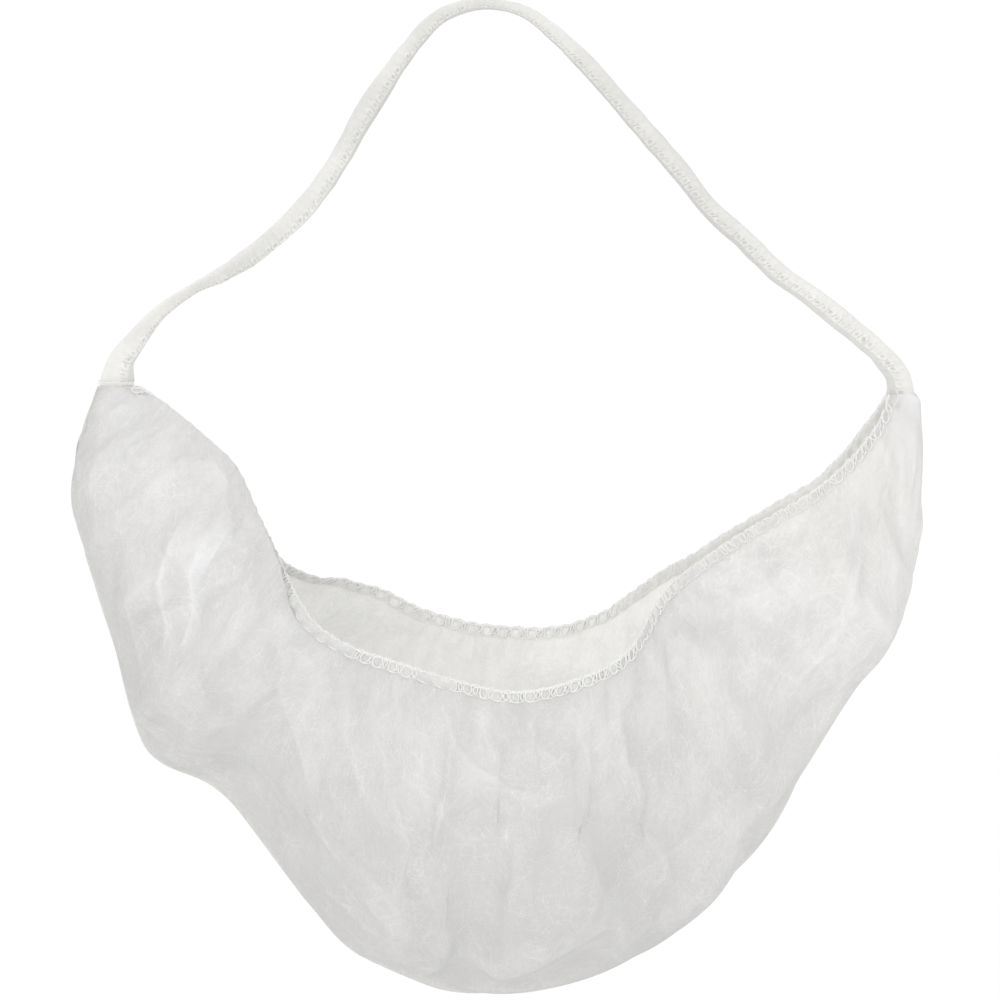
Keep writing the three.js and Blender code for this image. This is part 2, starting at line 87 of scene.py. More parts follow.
# The form of the pouch at stations from its left corner (0) to its right corner (1). x is in half widths, z
# is down from the corners in drops, y is in half depths, and full is how far each wall swells past its rim.
station_columns = ("at", "front_x", "front_z", "front_y", "back_x", "back_z", "back_y",
                   "fold_x", "fold_z", "fold_y", "front_full", "back_full")
station_rows = (
    (0.00, -0.84, 0.000, 0.055, -0.84, 0.000, 0.055, -0.905, 0.000, 0.00, 0.00, 0.00),
    (0.05, -0.79, 0.015, 0.19, -0.79, 0.045, 0.19, -0.960, 0.090, 0.00, 0.14, 0.10),
    (0.11, -0.70, 0.045, 0.38, -0.70, 0.125, 0.38, -0.975, 0.180, 0.02, 0.26, 0.18),
    (0.18, -0.605, 0.100, 0.59, -0.60, 0.225, 0.59, -0.940, 0.280, 0.04, 0.34, 0.24),
    (0.25, -0.53, 0.215, 0.78, -0.47, 0.330, 0.81, -0.875, 0.420, 0.03, 0.32, 0.28),
    (0.31, -0.435, 0.350, 0.92, -0.34, 0.360, 0.95, -0.800, 0.580, 0.00, 0.26, 0.26),
    (0.36, -0.34, 0.400, 0.97, -0.24, 0.380, 1.00, -0.630, 0.660, -0.06, 0.22, 0.24),
    (0.42, -0.22, 0.430, 1.00, -0.13, 0.410, 1.00, -0.410, 0.850, -0.05, 0.24, 0.26),
    (0.48, -0.08, 0.460, 1.00, -0.01, 0.440, 1.00, -0.180, 0.975, 0.00, 0.30, 0.28),
    (0.55, 0.07, 0.480, 1.00, 0.13, 0.450, 1.00, 0.045, 1.000, 0.04, 0.32, 0.28),
    (0.62, 0.22, 0.460, 0.95, 0.27, 0.420, 0.92, 0.290, 0.960, 0.05, 0.30, 0.28),
    (0.69, 0.34, 0.420, 0.81, 0.38, 0.360, 0.73, 0.510, 0.850, 0.00, 0.32, 0.34),
    (0.76, 0.44, 0.330, 0.46, 0.51, 0.290, 0.38, 0.735, 0.635, -0.05, 0.44, 0.46),
    (0.83, 0.61, 0.250, 0.27, 0.65, 0.220, 0.24, 0.860, 0.500, -0.03, 0.46, 0.44),
    (0.90, 0.80, 0.170, 0.19, 0.81, 0.150, 0.19, 0.965, 0.400, 0.00, 0.36, 0.34),
    (0.96, 0.92, 0.080, 0.12, 0.91, 0.070, 0.12, 1.020, 0.220, 0.00, 0.18, 0.18),
    (1.00, 0.97, 0.010, 0.055, 0.97, 0.010, 0.055, 1.020, 0.010, 0.00, 0.00, 0.00),
)
stations = dict(zip(station_columns, np.array(station_rows).T))

# Long folds. side is -1 on the front wall and 1 on the back wall, at is where the fold meets the rim, lean
# is how far it strays by the bottom, start and end are shares of the way down, and height is in half
# depths.
fold_rows = (
    dict(side=-1, at=0.13, lean=0.05, start=0.1, end=0.9, width=0.018, height=0.08),
    dict(side=-1, at=0.21, lean=0.02, start=0.15, end=0.85, width=0.02, height=0.1),
    dict(side=-1, at=0.245, lean=0.01, start=0.2, end=0.8, width=0.012, height=-0.09),
    dict(side=-1, at=0.275, lean=0.02, start=0.1, end=0.95, width=0.016, height=0.09),
    dict(side=-1, at=0.35, lean=0.02, start=0.3, end=1.0, width=0.02, height=-0.1),
    dict(side=-1, at=0.4, lean=-0.03, start=0.0, end=0.7, width=0.02, height=0.07),
    dict(side=-1, at=0.49, lean=-0.02, start=0.0, end=0.45, width=0.016, height=0.11),
    dict(side=-1, at=0.55, lean=-0.05, start=0.3, end=1.0, width=0.022, height=-0.1),
    dict(side=-1, at=0.52, lean=-0.03, start=0.5, end=1.0, width=0.015, height=0.1),
    dict(side=-1, at=0.61, lean=0.03, start=0.1, end=0.9, width=0.022, height=0.08),
    dict(side=-1, at=0.68, lean=0.03, start=0.05, end=0.8, width=0.018, height=-0.1),
    dict(side=-1, at=0.75, lean=0.01, start=0.05, end=0.9, width=0.018, height=0.12),
    dict(side=-1, at=0.815, lean=0.01, start=0.1, end=0.5, width=0.02, height=-0.14),
    dict(side=-1, at=0.88, lean=0.02, start=0.1, end=0.9, width=0.018, height=0.08),
    dict(side=-1, at=0.945, lean=0.0, start=0.3, end=1.0, width=0.01, height=-0.04),
    dict(side=1, at=0.16, lean=0.03, start=0.1, end=0.9, width=0.02, height=0.09),
    dict(side=1, at=0.24, lean=0.03, start=0.1, end=0.8, width=0.018, height=-0.09),
    dict(side=1, at=0.34, lean=0.0, start=0.1, end=1.0, width=0.022, height=0.1),
    dict(side=1, at=0.45, lean=0.02, start=0.15, end=0.9, width=0.02, height=-0.09),
    dict(side=1, at=0.53, lean=-0.02, start=0.0, end=0.8, width=0.02, height=0.1),
    dict(side=1, at=0.63, lean=0.03, start=0.1, end=0.9, width=0.02, height=-0.09),
    dict(side=1, at=0.72, lean=0.02, start=0.0, end=0.9, width=0.02, height=0.1),
    dict(side=1, at=0.84, lean=0.02, start=0.1, end=0.8, width=0.018, height=-0.08),
)

# Round dents and puffs. down is the share of the way from rim to bottom, wide and tall are how far they
# spread, turn leans them over, and height is in half depths.
dent_rows = (
    dict(side=-1, at=0.09, down=0.5, wide=0.03, tall=0.25, turn=0.3, height=0.1),
    dict(side=-1, at=0.19, down=0.75, wide=0.03, tall=0.2, turn=-0.5, height=-0.1),
    dict(side=-1, at=0.3, down=0.45, wide=0.04, tall=0.16, turn=0.6, height=0.12),
    dict(side=-1, at=0.37, down=0.7, wide=0.03, tall=0.2, turn=0.4, height=-0.12),
    dict(side=-1, at=0.44, down=0.5, wide=0.035, tall=0.14, turn=-0.7, height=0.1),
    dict(side=-1, at=0.5, down=0.8, wide=0.03, tall=0.2, turn=0.3, height=-0.14),
    dict(side=-1, at=0.57, down=0.62, wide=0.04, tall=0.13, turn=0.8, height=0.12),
    dict(side=-1, at=0.64, down=0.35, wide=0.03, tall=0.16, turn=-0.4, height=-0.1),
    dict(side=-1, at=0.7, down=0.7, wide=0.035, tall=0.18, turn=0.5, height=0.12),
    dict(side=-1, at=0.79, down=0.65, wide=0.03, tall=0.16, turn=-0.6, height=-0.12),
    dict(side=-1, at=0.86, down=0.4, wide=0.03, tall=0.2, turn=0.2, height=0.1),
    dict(side=1, at=0.12, down=0.55, wide=0.03, tall=0.2, turn=-0.4, height=-0.08),
    dict(side=1, at=0.29, down=0.6, wide=0.035, tall=0.18, turn=0.5, height=-0.12),
    dict(side=1, at=0.4, down=0.4, wide=0.035, tall=0.16, turn=-0.5, height=0.12),
    dict(side=1, at=0.5, down=0.65, wide=0.04, tall=0.16, turn=0.6, height=-0.12),
    dict(side=1, at=0.6, down=0.45, wide=0.035, tall=0.18, turn=0.2, height=0.12),
    dict(side=1, at=0.68, down=0.7, wide=0.03, tall=0.16, turn=-0.5, height=-0.12),
    dict(side=1, at=0.78, down=0.5, wide=0.03, tall=0.2, turn=0.4, height=0.12),
    dict(side=1, at=0.9, down=0.6, wide=0.03, tall=0.2, turn=0.0, height=-0.07),
)


# Where the front wall lies double or in a fold, so that it looks whiter. x and y are pixels of the
# photograph, from one end of the fold's sharp edge to the other. reach is how many pixels the white fades
# over, to the right of the edge where it is positive and to the left where it is negative.
veil_rows = (
    dict(x=(188, 168, 160, 166, 158), y=(508, 545, 585, 625, 660), reach=-26, white=0.9),
    dict(x=(208, 191, 192, 178), y=(535, 575, 610, 655), reach=-18, white=0.8),
    dict(x=(236, 216, 200, 190), y=(520, 555, 585, 600), reach=14, white=0.5),
    dict(x=(110, 128, 140), y=(560, 620, 690), reach=-20, white=0.3),
    dict(x=(285, 283, 300, 312), y=(640, 700, 760, 800), reach=-34, white=0.45),
    dict(x=(352, 345, 362, 392), y=(690, 735, 790, 850), reach=-60, white=0.45),
    dict(x=(385, 410, 438, 463), y=(780, 850, 912, 990), reach=42, white=0.5),
    dict(x=(378, 430, 472, 520, 580), y=(762, 800, 850, 890, 932), reach=-40, white=0.4),
    dict(x=(440, 449, 470, 510, 556), y=(690, 730, 762, 790, 803), reach=24, white=0.55),
    dict(x=(560, 585, 600, 596), y=(700, 745, 790, 830), reach=-30, white=0.35),
    dict(x=(646, 664, 692, 724), y=(650, 690, 716, 724), reach=-30, white=0.4),
    dict(x=(728, 742, 770, 800), y=(650, 600, 590, 545), reach=30, white=0.35),
    dict(x=(800, 792, 822, 850), y=(610, 640, 670, 700), reach=-34, white=0.3),
    dict(x=(520, 600, 680, 740), y=(935, 900, 850, 790), reach=26, white=0.3),
    dict(x=(480, 486, 500), y=(705, 735, 770), reach=10, white=0.35),
    dict(x=(528, 536, 560), y=(712, 742, 765), reach=12, white=0.35),
)

# Where the front wall lies single and slack and is painted darker, in the same pixels: painted shade of the
# pouch's shaded inside seen through it, and of grooves
thin_cloth_and_painted_shade_rows = (
    dict(x=172, y=568, wide=11, tall=32, dark=0.6),
    dict(x=204, y=602, wide=9, tall=18, dark=0.5),
    dict(x=150, y=715, wide=34, tall=26, dark=0.4),
    dict(x=225, y=665, wide=20, tall=34, dark=0.25),
    dict(x=208, y=455, wide=20, tall=9, dark=0.35),
    dict(x=485, y=918, wide=30, tall=40, dark=0.7),
    dict(x=532, y=738, wide=26, tall=18, dark=0.5),
    dict(x=575, y=822, wide=34, tall=16, dark=0.45),
    dict(x=374, y=830, wide=17, tall=44, dark=0.45),
    dict(x=770, y=562, wide=17, tall=20, dark=0.7),
    dict(x=658, y=608, wide=8, tall=14, dark=0.5),
    dict(x=674, y=582, wide=10, tall=14, dark=0.4),
    dict(x=608, y=880, wide=34, tall=18, dark=0.3),
    dict(x=292, y=830, wide=18, tall=50, dark=0.3),
    dict(x=660, y=745, wide=26, tall=18, dark=0.3),
)

# Where the pouch stands further out along its bottom fold than the plain form, in metres
outline_rows = (
    dict(at=0.33, wide=0.022, out=0.0025),
    dict(at=0.445, wide=0.02, out=0.0025),
    dict(at=0.725, wide=0.032, out=0.0028),
)

# Where the elastics hang lower than the plain rim lines, in metres: under the lobe, and along the far rim
rim_rows = (
    dict(side=-1, at=0.14, wide=0.08, low=0.0042),
    dict(side=1, at=0.13, wide=0.08, low=0.0034),
    dict(side=1, at=0.405, wide=0.055, low=0.0027),
    dict(side=1, at=0.88, wide=0.06, low=0.0012),
)


def unit(vectors):
    """The vectors at a length of 1."""
    return vectors / np.maximum(np.linalg.norm(vectors, axis=-1, keepdims=True), 1e-12)


def eased(value, low, high):
    """0 where the value is under low, 1 where it is over high, with a soft step between."""
    share = np.clip((value - low) / (high - low), 0, 1)
    return share * share * (3 - 2 * share)


def read_rows(x, y, at):
    """The values y that belong to x, read at other places on a smooth curve through them."""
    before = np.maximum(np.arange(len(x)) - 1, 0)
    after = np.minimum(np.arange(len(x)) + 1, len(x) - 1)
    slope = (y[after] - y[before]) / (x[after] - x[before])
    row = np.clip(np.searchsorted(x, at, side="right") - 1, 0, len(x) - 2)
    span = x[row + 1] - x[row]
    share = np.clip((at - x[row]) / span, 0, 1)
    end = 3 * share**2 - 2 * share**3
    pull = (share**3 - 2 * share**2 + share) * slope[row] + (share**3 - share**2) * slope[row + 1]
    return (1 - end) * y[row] + end * y[row + 1] + span * pull


def pouch_form(at, around):
    """The pouch without creases. around is -1 on the front rim, 0 on the bottom and 1 on the back rim."""
    def column(name):
        return read_rows(stations["at"], stations[name], at)

    back = around >= 0
    side = np.where(back, 1.0, -1.0)
    down = 1 - np.abs(around)
    turn = down * math.pi / 2
    rim_x = np.where(back, column("back_x"), column("front_x")) * half_width
    rim_z = corner_height - np.where(back, column("back_z"), column("front_z")) * pouch_drop
    rim_y = side * np.where(back, column("back_y"), column("front_y")) * half_depth
    rim = np.stack([rim_x, rim_y, rim_z], -1)
    bottom_z = corner_height - column("fold_z") * pouch_drop
    bottom = np.stack([column("fold_x") * half_width, column("fold_y") * half_depth, bottom_z], -1)
    full = np.where(back, column("back_full"), column("front_full")) * half_depth
    cloth = rim + (bottom - rim) * np.sin(turn)[..., None]
    swell = side * full * np.sin(2 * turn)
    cloth[..., 1] = bottom[..., 1] + (rim_y - bottom[..., 1]) * np.cos(turn) + swell

    # Beside the left corner the front wall rolls up over its rim as a soft lobe
    near_lobe = np.exp(-(((at - 0.18) / 0.085) ** 2)) * ~back
    rise = np.sin(math.pi * np.minimum(down / 0.34, 1))
    roll = 0.19 * half_depth * near_lobe
    cloth += unit((rim - bottom) * (1, 0, 1)) * (roll * rise**2)[..., None]
    cloth[..., 1] -= roll * rise
    return cloth


def out_of(cloth):
    """The direction straight out of the cloth at each point of its grid."""
    return unit(np.cross(np.gradient(cloth, axis=1), np.gradient(cloth, axis=0)))


def crease_height(at, around):
    """How far the long folds and the dents stand out from the plain form, in metres."""
    down = 1 - np.abs(around)
    side = np.where(around < 0, -1, 1)
    height = np.zeros_like(at)
    for fold in fold_rows:
        begins = eased(down, fold["start"] - 0.1, fold["start"] + 0.15)
        ends = 1 - eased(down, fold["end"] - 0.25, fold["end"])
        off = (at - fold["at"] - fold["lean"] * down) / fold["width"]
        height += fold["height"] * begins * ends * np.exp(-(off**2)) * (side == fold["side"])
    for dent in dent_rows:
        along = (at - dent["at"]) / dent["wide"]
        below = (down - dent["down"]) / dent["tall"]
        dip = np.exp(-((along + dent["turn"] * below) ** 2) - below**2)
        height += dent["height"] * dip * (side == dent["side"])
    return height * half_depth


def lobe_cover(at, around):
    """Where the cloth of the left lobe hides its rim: 1 there and 0 elsewhere."""
    return eased(at, 0.012, 0.05) * (1 - eased(at, 0.265, 0.32)) * (around < 0)


def gather_height(at, around, chance):
    """The gathers that the elastics draw in: wide ones from the cut, and fine ones between them."""
    down = 1 - np.abs(around)
    side = np.sign(around)
    free = eased(np.minimum(at, 1 - at), 0, 0.08) * (0.3 + 0.7 * eased(down, 0, 0.06))
    waves = 17 * at + 0.35 * np.sin(19 * at + side)
    height = wide_gather * np.exp(-down / 0.2) * np.sin(2 * math.pi * waves)
    for _ in range(gather_bundles):
        count = chance.uniform(34, 72)
        start = chance.uniform(0, 2 * math.pi)
        middle = chance.uniform(0, 1)
        reach = chance.uniform(0.05, 0.2)
        lean = chance.uniform(-4, 4)
        which = chance.choice([-1, 1])
        bundle = np.exp(-(((at - middle) / 0.12) ** 2)) * np.exp(-down / reach) * (side == which)
        height += fine_gather * bundle * np.sin(2 * math.pi * count * at + start + lean * down)
    return height * free * (1 - 0.85 * lobe_cover(at, around))


def over_the_rim(at, around):
    """How far the cloth of the left lobe is pulled up and forwards, over its rim and the stitches on it."""
    down = 1 - np.abs(around)
    cover = lobe_cover(at, around)
    up = pulled_up * cover * (1 - np.exp(-down / 0.012)) * (1 - eased(down, 0.06, 0.45))
    forwards = pulled_forwards * cover * (1 - np.exp(-down / 0.006)) * (1 - eased(down, 0.1, 0.45))
    rim = pouch_form(at, np.full_like(at, -1.0))
    bottom = pouch_form(at, np.zeros_like(at))
    return unit((rim - bottom) * (1, 0, 1)) * up[..., None] - np.array((0, 1, 0)) * forwards[..., None]


def in_photo(cloth):
    """The pixel of the photograph that each point of the object is seen at."""
    lifted = cloth[..., 1] * math.sin(view_pitch) + cloth[..., 2] * math.cos(view_pitch)
    return photo_x + cloth[..., 0] / photo_pixel, photo_y - lifted / photo_pixel


def beside_edge(x, y, edge):
    """How far each pixel lies from a drawn edge, positive to its right, and its share of the way along."""
    corners = np.stack([edge["x"], edge["y"]], -1).astype(float)
    nearest = np.full(x.shape, np.inf)
    signed = np.zeros(x.shape)
    share = np.zeros(x.shape)
    for index, (start, end) in enumerate(zip(corners[:-1], corners[1:])):
        way = end - start
        part = np.clip(((x - start[0]) * way[0] + (y - start[1]) * way[1]) / (way @ way), 0, 1)
        off_x = x - start[0] - part * way[0]
        off_y = y - start[1] - part * way[1]
        distance = np.hypot(off_x, off_y)
        closer = distance < nearest
        turn = np.sign(way[0] * off_y - way[1] * off_x)
        signed = np.where(closer, distance * np.where(turn == 0, 1, turn), signed)
        share = np.where(closer, (index + part) / (len(corners) - 1), share)
        nearest = np.minimum(nearest, distance)
    return signed, share


def fold_white_and_painted_light(cloth, around, at):
    """How white the cloth is painted: about 0 where it is single and 1 where it is doubled, with painted
    light and painted shade laid over that.
    """
    x, y = in_photo(cloth)
    down = 1 - np.abs(around)
    front = around < 0
    # Painted light, partly for gathered cloth: the front wall is whiter towards its right end
    gathered_and_painted_light = 1.15 * eased(at, 0.6, 0.95) + 0.6 * eased(at, 0.88, 1)
    lobe = (1 - eased(at, 0.12, 0.36)) * (1 - 0.7 * eased(down, 0.35, 0.9))
    # Painted shade: the front wall is darker towards the bottom and in the lower middle
    low = 0.35 * eased(down, 0.15, 0.6) * (1 - eased(at, 0.62, 0.8))
    low += 0.5 * np.exp(-(((at - 0.52) / 0.1) ** 2) - ((down - 0.45) / 0.25) ** 2)
    # Painted light: the back wall is whiter on its right half and in a strip just under its rim
    back_wall_tone_and_painted_light = 0.62 + 0.5 * eased(at, 0.52, 0.7)
    white = np.where(front, gathered_and_painted_light + lobe - low, back_wall_tone_and_painted_light + 0.7 * np.exp(-down / 0.03))
    white += 0.22 * np.exp(-down / 0.08)
    for veil in veil_rows:
        signed, share = beside_edge(x, y, veil)
        signed = signed * math.copysign(1, veil["reach"])
        fade = eased(signed, -3, 1) * np.exp(-np.maximum(signed, 0) / abs(veil["reach"]))
        ridge = np.exp(-((signed / 2.4) ** 2))
        ends = eased(share, 0, 0.2) * (1 - eased(share, 0.8, 1))
        white += veil["white"] * (0.8 * fade + 0.55 * ridge) * ends * front
    # Painted shade in the thin places
    for thin in thin_cloth_and_painted_shade_rows:
        spread = ((x - thin["x"]) / thin["wide"]) ** 2 + ((y - thin["y"]) / thin["tall"]) ** 2
        white -= thin["dark"] * np.exp(-spread) * front
    darkest = -0.25
    return np.where(white < darkest, darkest + 0.25 * (white - darkest), white)


def shared_out(grid, reach):
    """The grid with each value spread over its neighbours, about reach points either way."""
    weights = np.exp(-np.linspace(-2, 2, 4 * reach + 1) ** 2)
    weights /= weights.sum()
    for axis in (0, 1):
        size = grid.shape[axis]
        edges = [(2 * reach, 2 * reach) if a == axis else (0, 0) for a in range(grid.ndim)]
        wide = np.pad(grid, edges, mode="edge")
        grid = sum(w * np.take(wide, range(k, k + size), axis) for k, w in enumerate(weights))
    return grid


def twice_as_fine(points):
    """The points along the first axis, with one more on a smooth curve between each two."""
    ends = (2 * points[:1] - points[1:2], 2 * points[-1:] - points[-2:-1])
    wide = np.concatenate([ends[0], points, ends[1]])
    finer = np.empty((2 * len(points) - 1,) + points.shape[1:])
    finer[0::2] = points
    finer[1::2] = (9 * (wide[1:-2] + wide[2:-1]) - wide[:-3] - wide[3:]) / 16
    return finer


def grid_faces(columns, rows, round_rows=False):
    """The faces of a grid of points. round_rows closes each column of points into a ring."""
    corner = np.arange(columns * rows).reshape(columns, rows)
    if round_rows:
        corner = np.concatenate([corner, corner[:, :1]], axis=1)
    a, b, c, d = corner[:-1, :-1], corner[:-1, 1:], corner[1:, 1:], corner[1:, :-1]
    return np.stack([a, b, c, d], -1).reshape(-1, 4)


def new_piece(name, points, faces, flat=None):
    """A smooth-shaded object. flat holds each point's place on the flat cloth or thread, in metres."""
    mesh = bpy.data.meshes.new(name)
    mesh.from_pydata(np.asarray(points).reshape(-1, 3).tolist(), [], np.asarray(faces).tolist())
    mesh.shade_smooth()
    if flat is not None:
        corners = np.empty(len(mesh.loops), dtype=np.int64)
        mesh.loops.foreach_get("vertex_index", corners)
        layer = mesh.uv_layers.new(name="flat")
        layer.data.foreach_set("uv", np.asarray(flat).reshape(-1, 2)[corners].astype(np.float32).ravel())
    piece = bpy.data.objects.new(name, mesh)
    bpy.context.scene.collection.objects.link(piece)
    return piece


def crumple(cloth, at, down):
    """Lets the cloth grow a little inside its held rims, so that it buckles into crumples of its own."""
    columns, rows = at.shape
    draft = new_piece("crumple_draft", cloth, grid_faces(columns, rows))
    held = draft.vertex_groups.new(name="held")
    firm = np.maximum(np.clip(1 - down / 0.05, 0, 1), np.clip(1 - np.minimum(at, 1 - at) / 0.02, 0, 1))
    for index, weight in enumerate(firm.ravel()):
        if weight > 0:
            held.add([index], float(weight), "REPLACE")
    maker = draft.modifiers.new("Cloth", "CLOTH")
    maker.settings.quality = 6
    maker.settings.mass = 0.02
    maker.settings.tension_stiffness = 15
    maker.settings.compression_stiffness = 15
    maker.settings.shear_stiffness = 6
    maker.settings.bending_stiffness = 0.02
    maker.settings.tension_damping = 5
    maker.settings.compression_damping = 5
    maker.settings.air_damping = 2
    maker.settings.shrink_min = -0.06
    maker.settings.effector_weights.gravity = 0
    maker.settings.vertex_group_mass = "held"
    maker.collision_settings.use_collision = False
    maker.collision_settings.use_self_collision = False
    last_step = 24
    for step in range(1, last_step + 1):
        bpy.context.scene.frame_set(step)
    bpy.context.view_layer.update()
    settled = draft.evaluated_get(bpy.context.evaluated_depsgraph_get()).data
    points = np.empty(columns * rows * 3)
    settled.vertices.foreach_get("co", points)
    bpy.context.scene.frame_set(1)
    bpy.data.objects.remove(draft)
    return points.reshape(columns, rows, 3)


chance = np.random.default_rng(11)
cloth_columns, cloth_rows = 210, 115
even_rows = np.linspace(-1, 1, cloth_rows)
rows_down = 1 - np.abs(even_rows)
rows_around = np.sign(even_rows) * (1 - rows_down * (0.45 + 0.55 * rows_down))
at, around = np.meshgrid(np.linspace(0, 1, cloth_columns), rows_around, indexing="ij")
down = 1 - np.abs(around)
cloth = pouch_form(at, around)
cloth = cloth + out_of(cloth) * (crease_height(at, around) + gather_height(at, around, chance))[..., None]

# The crumples keep only what is fine in the cloth's own movement, most of it straight out of the cloth
moved = crumple(cloth, at, down) - cloth
moved = shared_out(moved, 1) - shared_out(moved, 7)
outwards = out_of(cloth) * (moved * out_of(cloth)).sum(-1, keepdims=True)
moved = outwards + 0.3 * (moved - outwards)
size = np.linalg.norm(moved, axis=-1, keepdims=True)
cloth = cloth + moved * most_crumple * np.tanh(size / most_crumple) / np.maximum(size, 1e-9)
cloth = twice_as_fine(cloth)
cloth = twice_as_fine(cloth.transpose(1, 0, 2)).transpose(1, 0, 2)
columns, rows = cloth.shape[:2]
fine_at = twice_as_fine(at[:, 0])[:, None] + np.zeros((columns, rows))
fine_around = twice_as_fine(rows_around)[None] + np.zeros((columns, rows))
fine_down = 1 - np.abs(fine_around)

# Between the corners the elastics sit a little off the plain rim lines: the near one higher and the far one
# lower. On the right the cloth under the far rim is tucked in towards the near one.
off_line = np.where(fine_around < 0, rim_off_line[-1], rim_off_line[1])
off_line *= eased(np.minimum(fine_at, 1 - fine_at), 0.02, 0.2)
for row in rim_rows:
    sag = row["low"] * np.exp(-(((fine_at - row["at"]) / row["wide"]) ** 2))
    off_line -= sag * (np.sign(fine_around) == row["side"])
cloth[..., 2] += off_line * np.exp(-fine_down / 0.12)
tucked = eased(fine_at, 0.55, 0.68) * (1 - eased(fine_at, 0.88, 0.96)) * (fine_around > 0)
cloth[..., 1] -= tucked_in * tucked * (1 - np.exp(-fine_down / 0.03)) * np.exp(-fine_down / 0.2)
rims = {-1: cloth[:, 0], 1: cloth[:, -1]}
cloth = cloth + over_the_rim(fine_at, fine_around)

# The folded right corner is cut on a slant
slant = eased(fine_at, 0.95, 1.0) * eased(fine_down, 0.2, 1)
cloth = cloth - slant[..., None] * np.array((0.0015, 0, 0.003))
white = fold_white_and_painted_light(cloth, fine_around, fine_at)
# Painted light: the crests of the cloth's relief are whiter
ridge = ((cloth - shared_out(cloth, 4)) * out_of(cloth)).sum(-1)
white += 0.16 * np.clip(ridge / 0.0004, 0, 1.6)

# Where a crease turns the cloth too sharply for its grid, it is laid softer
for reach in (8, 6, 4):
    softer = shared_out(cloth, reach)
    turned = 1 - (out_of(cloth) * out_of(softer)).sum(-1)
    sharp = np.clip(shared_out(eased(turned, 0.2, 0.5), 3) * 2.5, 0, 1) * eased(fine_down, 0.02, 0.1)
    cloth = cloth + (softer - cloth) * sharp[..., None]

# Doubled cloth stands a little further out than single cloth
drawn = drawn_in_wall * eased(fine_at, 0, 0.05) * (1 - 0.9 * eased(fine_at, 0.9, 0.96))
thickness = doubled_wall * np.clip(white, -0.5, 1.2) - drawn
for row in outline_rows:
    off = (fine_at - row["at"]) / row["wide"]
    thickness += row["out"] * np.exp(-(off**2) - (fine_around / 0.3) ** 2)
cloth = cloth + out_of(cloth) * (thickness * eased(fine_down, 0, 0.12))[..., None]


def rim_direction(side):
    """The direction away from the cloth along a rim, in which its elastic stands."""
    whole = np.full(columns, float(side))
    tall = pouch_form(fine_at[:, 0], whole) - pouch_form(fine_at[:, 0], whole * 0.96)
    tall[[0, -1], 2] = 0
    if side > 0:
        rolled_back = 0.45 * eased(np.minimum(fine_at[:, 0], 1 - fine_at[:, 0]), 0.02, 0.1)
        tall = unit(tall) + rolled_back[:, None] * np.array((0, 1, 0))
    return unit(tall)


# The raw edge of the cloth goes on inside the stitches. In places along the front rim its gathers stand
# before them. On the right half of the back rim it is turned over the elastic towards the inside.
tuck = np.array((0.0033, 0.0016))[:, None]
turned_in = eased(fine_at[:, 0], 0.6, 0.68)[:, None, None] * np.array((0, -0.0011, 0))
rim_at = fine_at[:, 0]
gathered = 0.45 * eased(np.sin(61 * rim_at + 2 * np.sin(37 * rim_at)), 0.1, 0.9)
gathered += 0.5 * eased(rim_at, 0.66, 0.74) * (1 - eased(rim_at, 0.88, 0.94))
for start, end in ((0.3, 0.368), (0.448, 0.478)):
    covered = eased(rim_at, start - 0.01, start) * (1 - eased(rim_at, end, end + 0.01))
    gathered = np.maximum(gathered, covered)
before = gathered[:, None, None] * np.array((0, -0.0013, 0))
front_tuck = rims[-1][:, None] + rim_direction(-1)[:, None] * tuck + before
back_tuck = rims[1][:, None] + rim_direction(1)[:, None] * tuck[::-1] + turned_in
cloth = np.concatenate([front_tuck, cloth, back_tuck], axis=1)
# Painted light: the tucked edges are whiter than the walls, the far one most, where the layers at the rims
# lie in shade
white = np.pad(white, [(0, 0), (2, 2)], constant_values=((0, 0), (1.1, 2.2)))
back_wall = np.pad(eased(fine_around, -0.05, 0.05), [(0, 0), (2, 2)], mode="edge")
rows = cloth.shape[1]

# Where each point lay on the flat cloth: along the bottom fold, and across from it
step_along = np.linalg.norm(np.diff(cloth[:, rows // 2], axis=0), axis=-1)
flat_along = np.concatenate([[0], np.cumsum(step_along)])
step_across = np.linalg.norm(np.diff(cloth, axis=1), axis=-1)
flat_across = np.concatenate([np.zeros((columns, 1)), np.cumsum(step_across, axis=1)], axis=1)
flat_across -= flat_across[:, rows // 2][:, None]
flat = np.stack([np.broadcast_to(flat_along[:, None], (columns, rows)), flat_across], -1)

pouch = new_piece("pouch_cloth", cloth, grid_faces(columns, rows), flat)
for name, values in (("white", white), ("back_wall", back_wall)):
    layer = pouch.data.attributes.new(name, "FLOAT", "POINT")
    layer.data.foreach_set("value", values.astype(np.float32).ravel())


class Wire:
    """One output of a node. Sums, products and powers of wires and numbers add Math nodes."""

    def __init__(self, finish, socket):
        self.finish = finish
        self.socket = socket

    def maths(self, operation, *values):
        return self.finish.add("ShaderNodeMath", {"operation": operation}, dict(enumerate(values)))

    def __add__(self, other):
        return self.maths("ADD", self, other)

    def __radd__(self, other):
        return self.maths("ADD", other, self)

    def __sub__(self, other):
        return self.maths("SUBTRACT", self, other)

    def __rsub__(self, other):
        return self.maths("SUBTRACT", other, self)

    def __mul__(self, other):
        return self.maths("MULTIPLY", self, other)

    def __rmul__(self, other):
        return self.maths("MULTIPLY", other, self)

    def __pow__(self, other):
        return self.maths("POWER", self, other)

    def __abs__(self):
        return self.maths("ABSOLUTE", self)

    def rising(self, low, high):
        """0 where the wire is under low, 1 where it is over high, with a soft step between."""
        sockets = {"Value": self, "From Min": low, "From Max": high}
        return self.finish.add("ShaderNodeMapRange", {"interpolation_type": "SMOOTHSTEP"}, sockets)


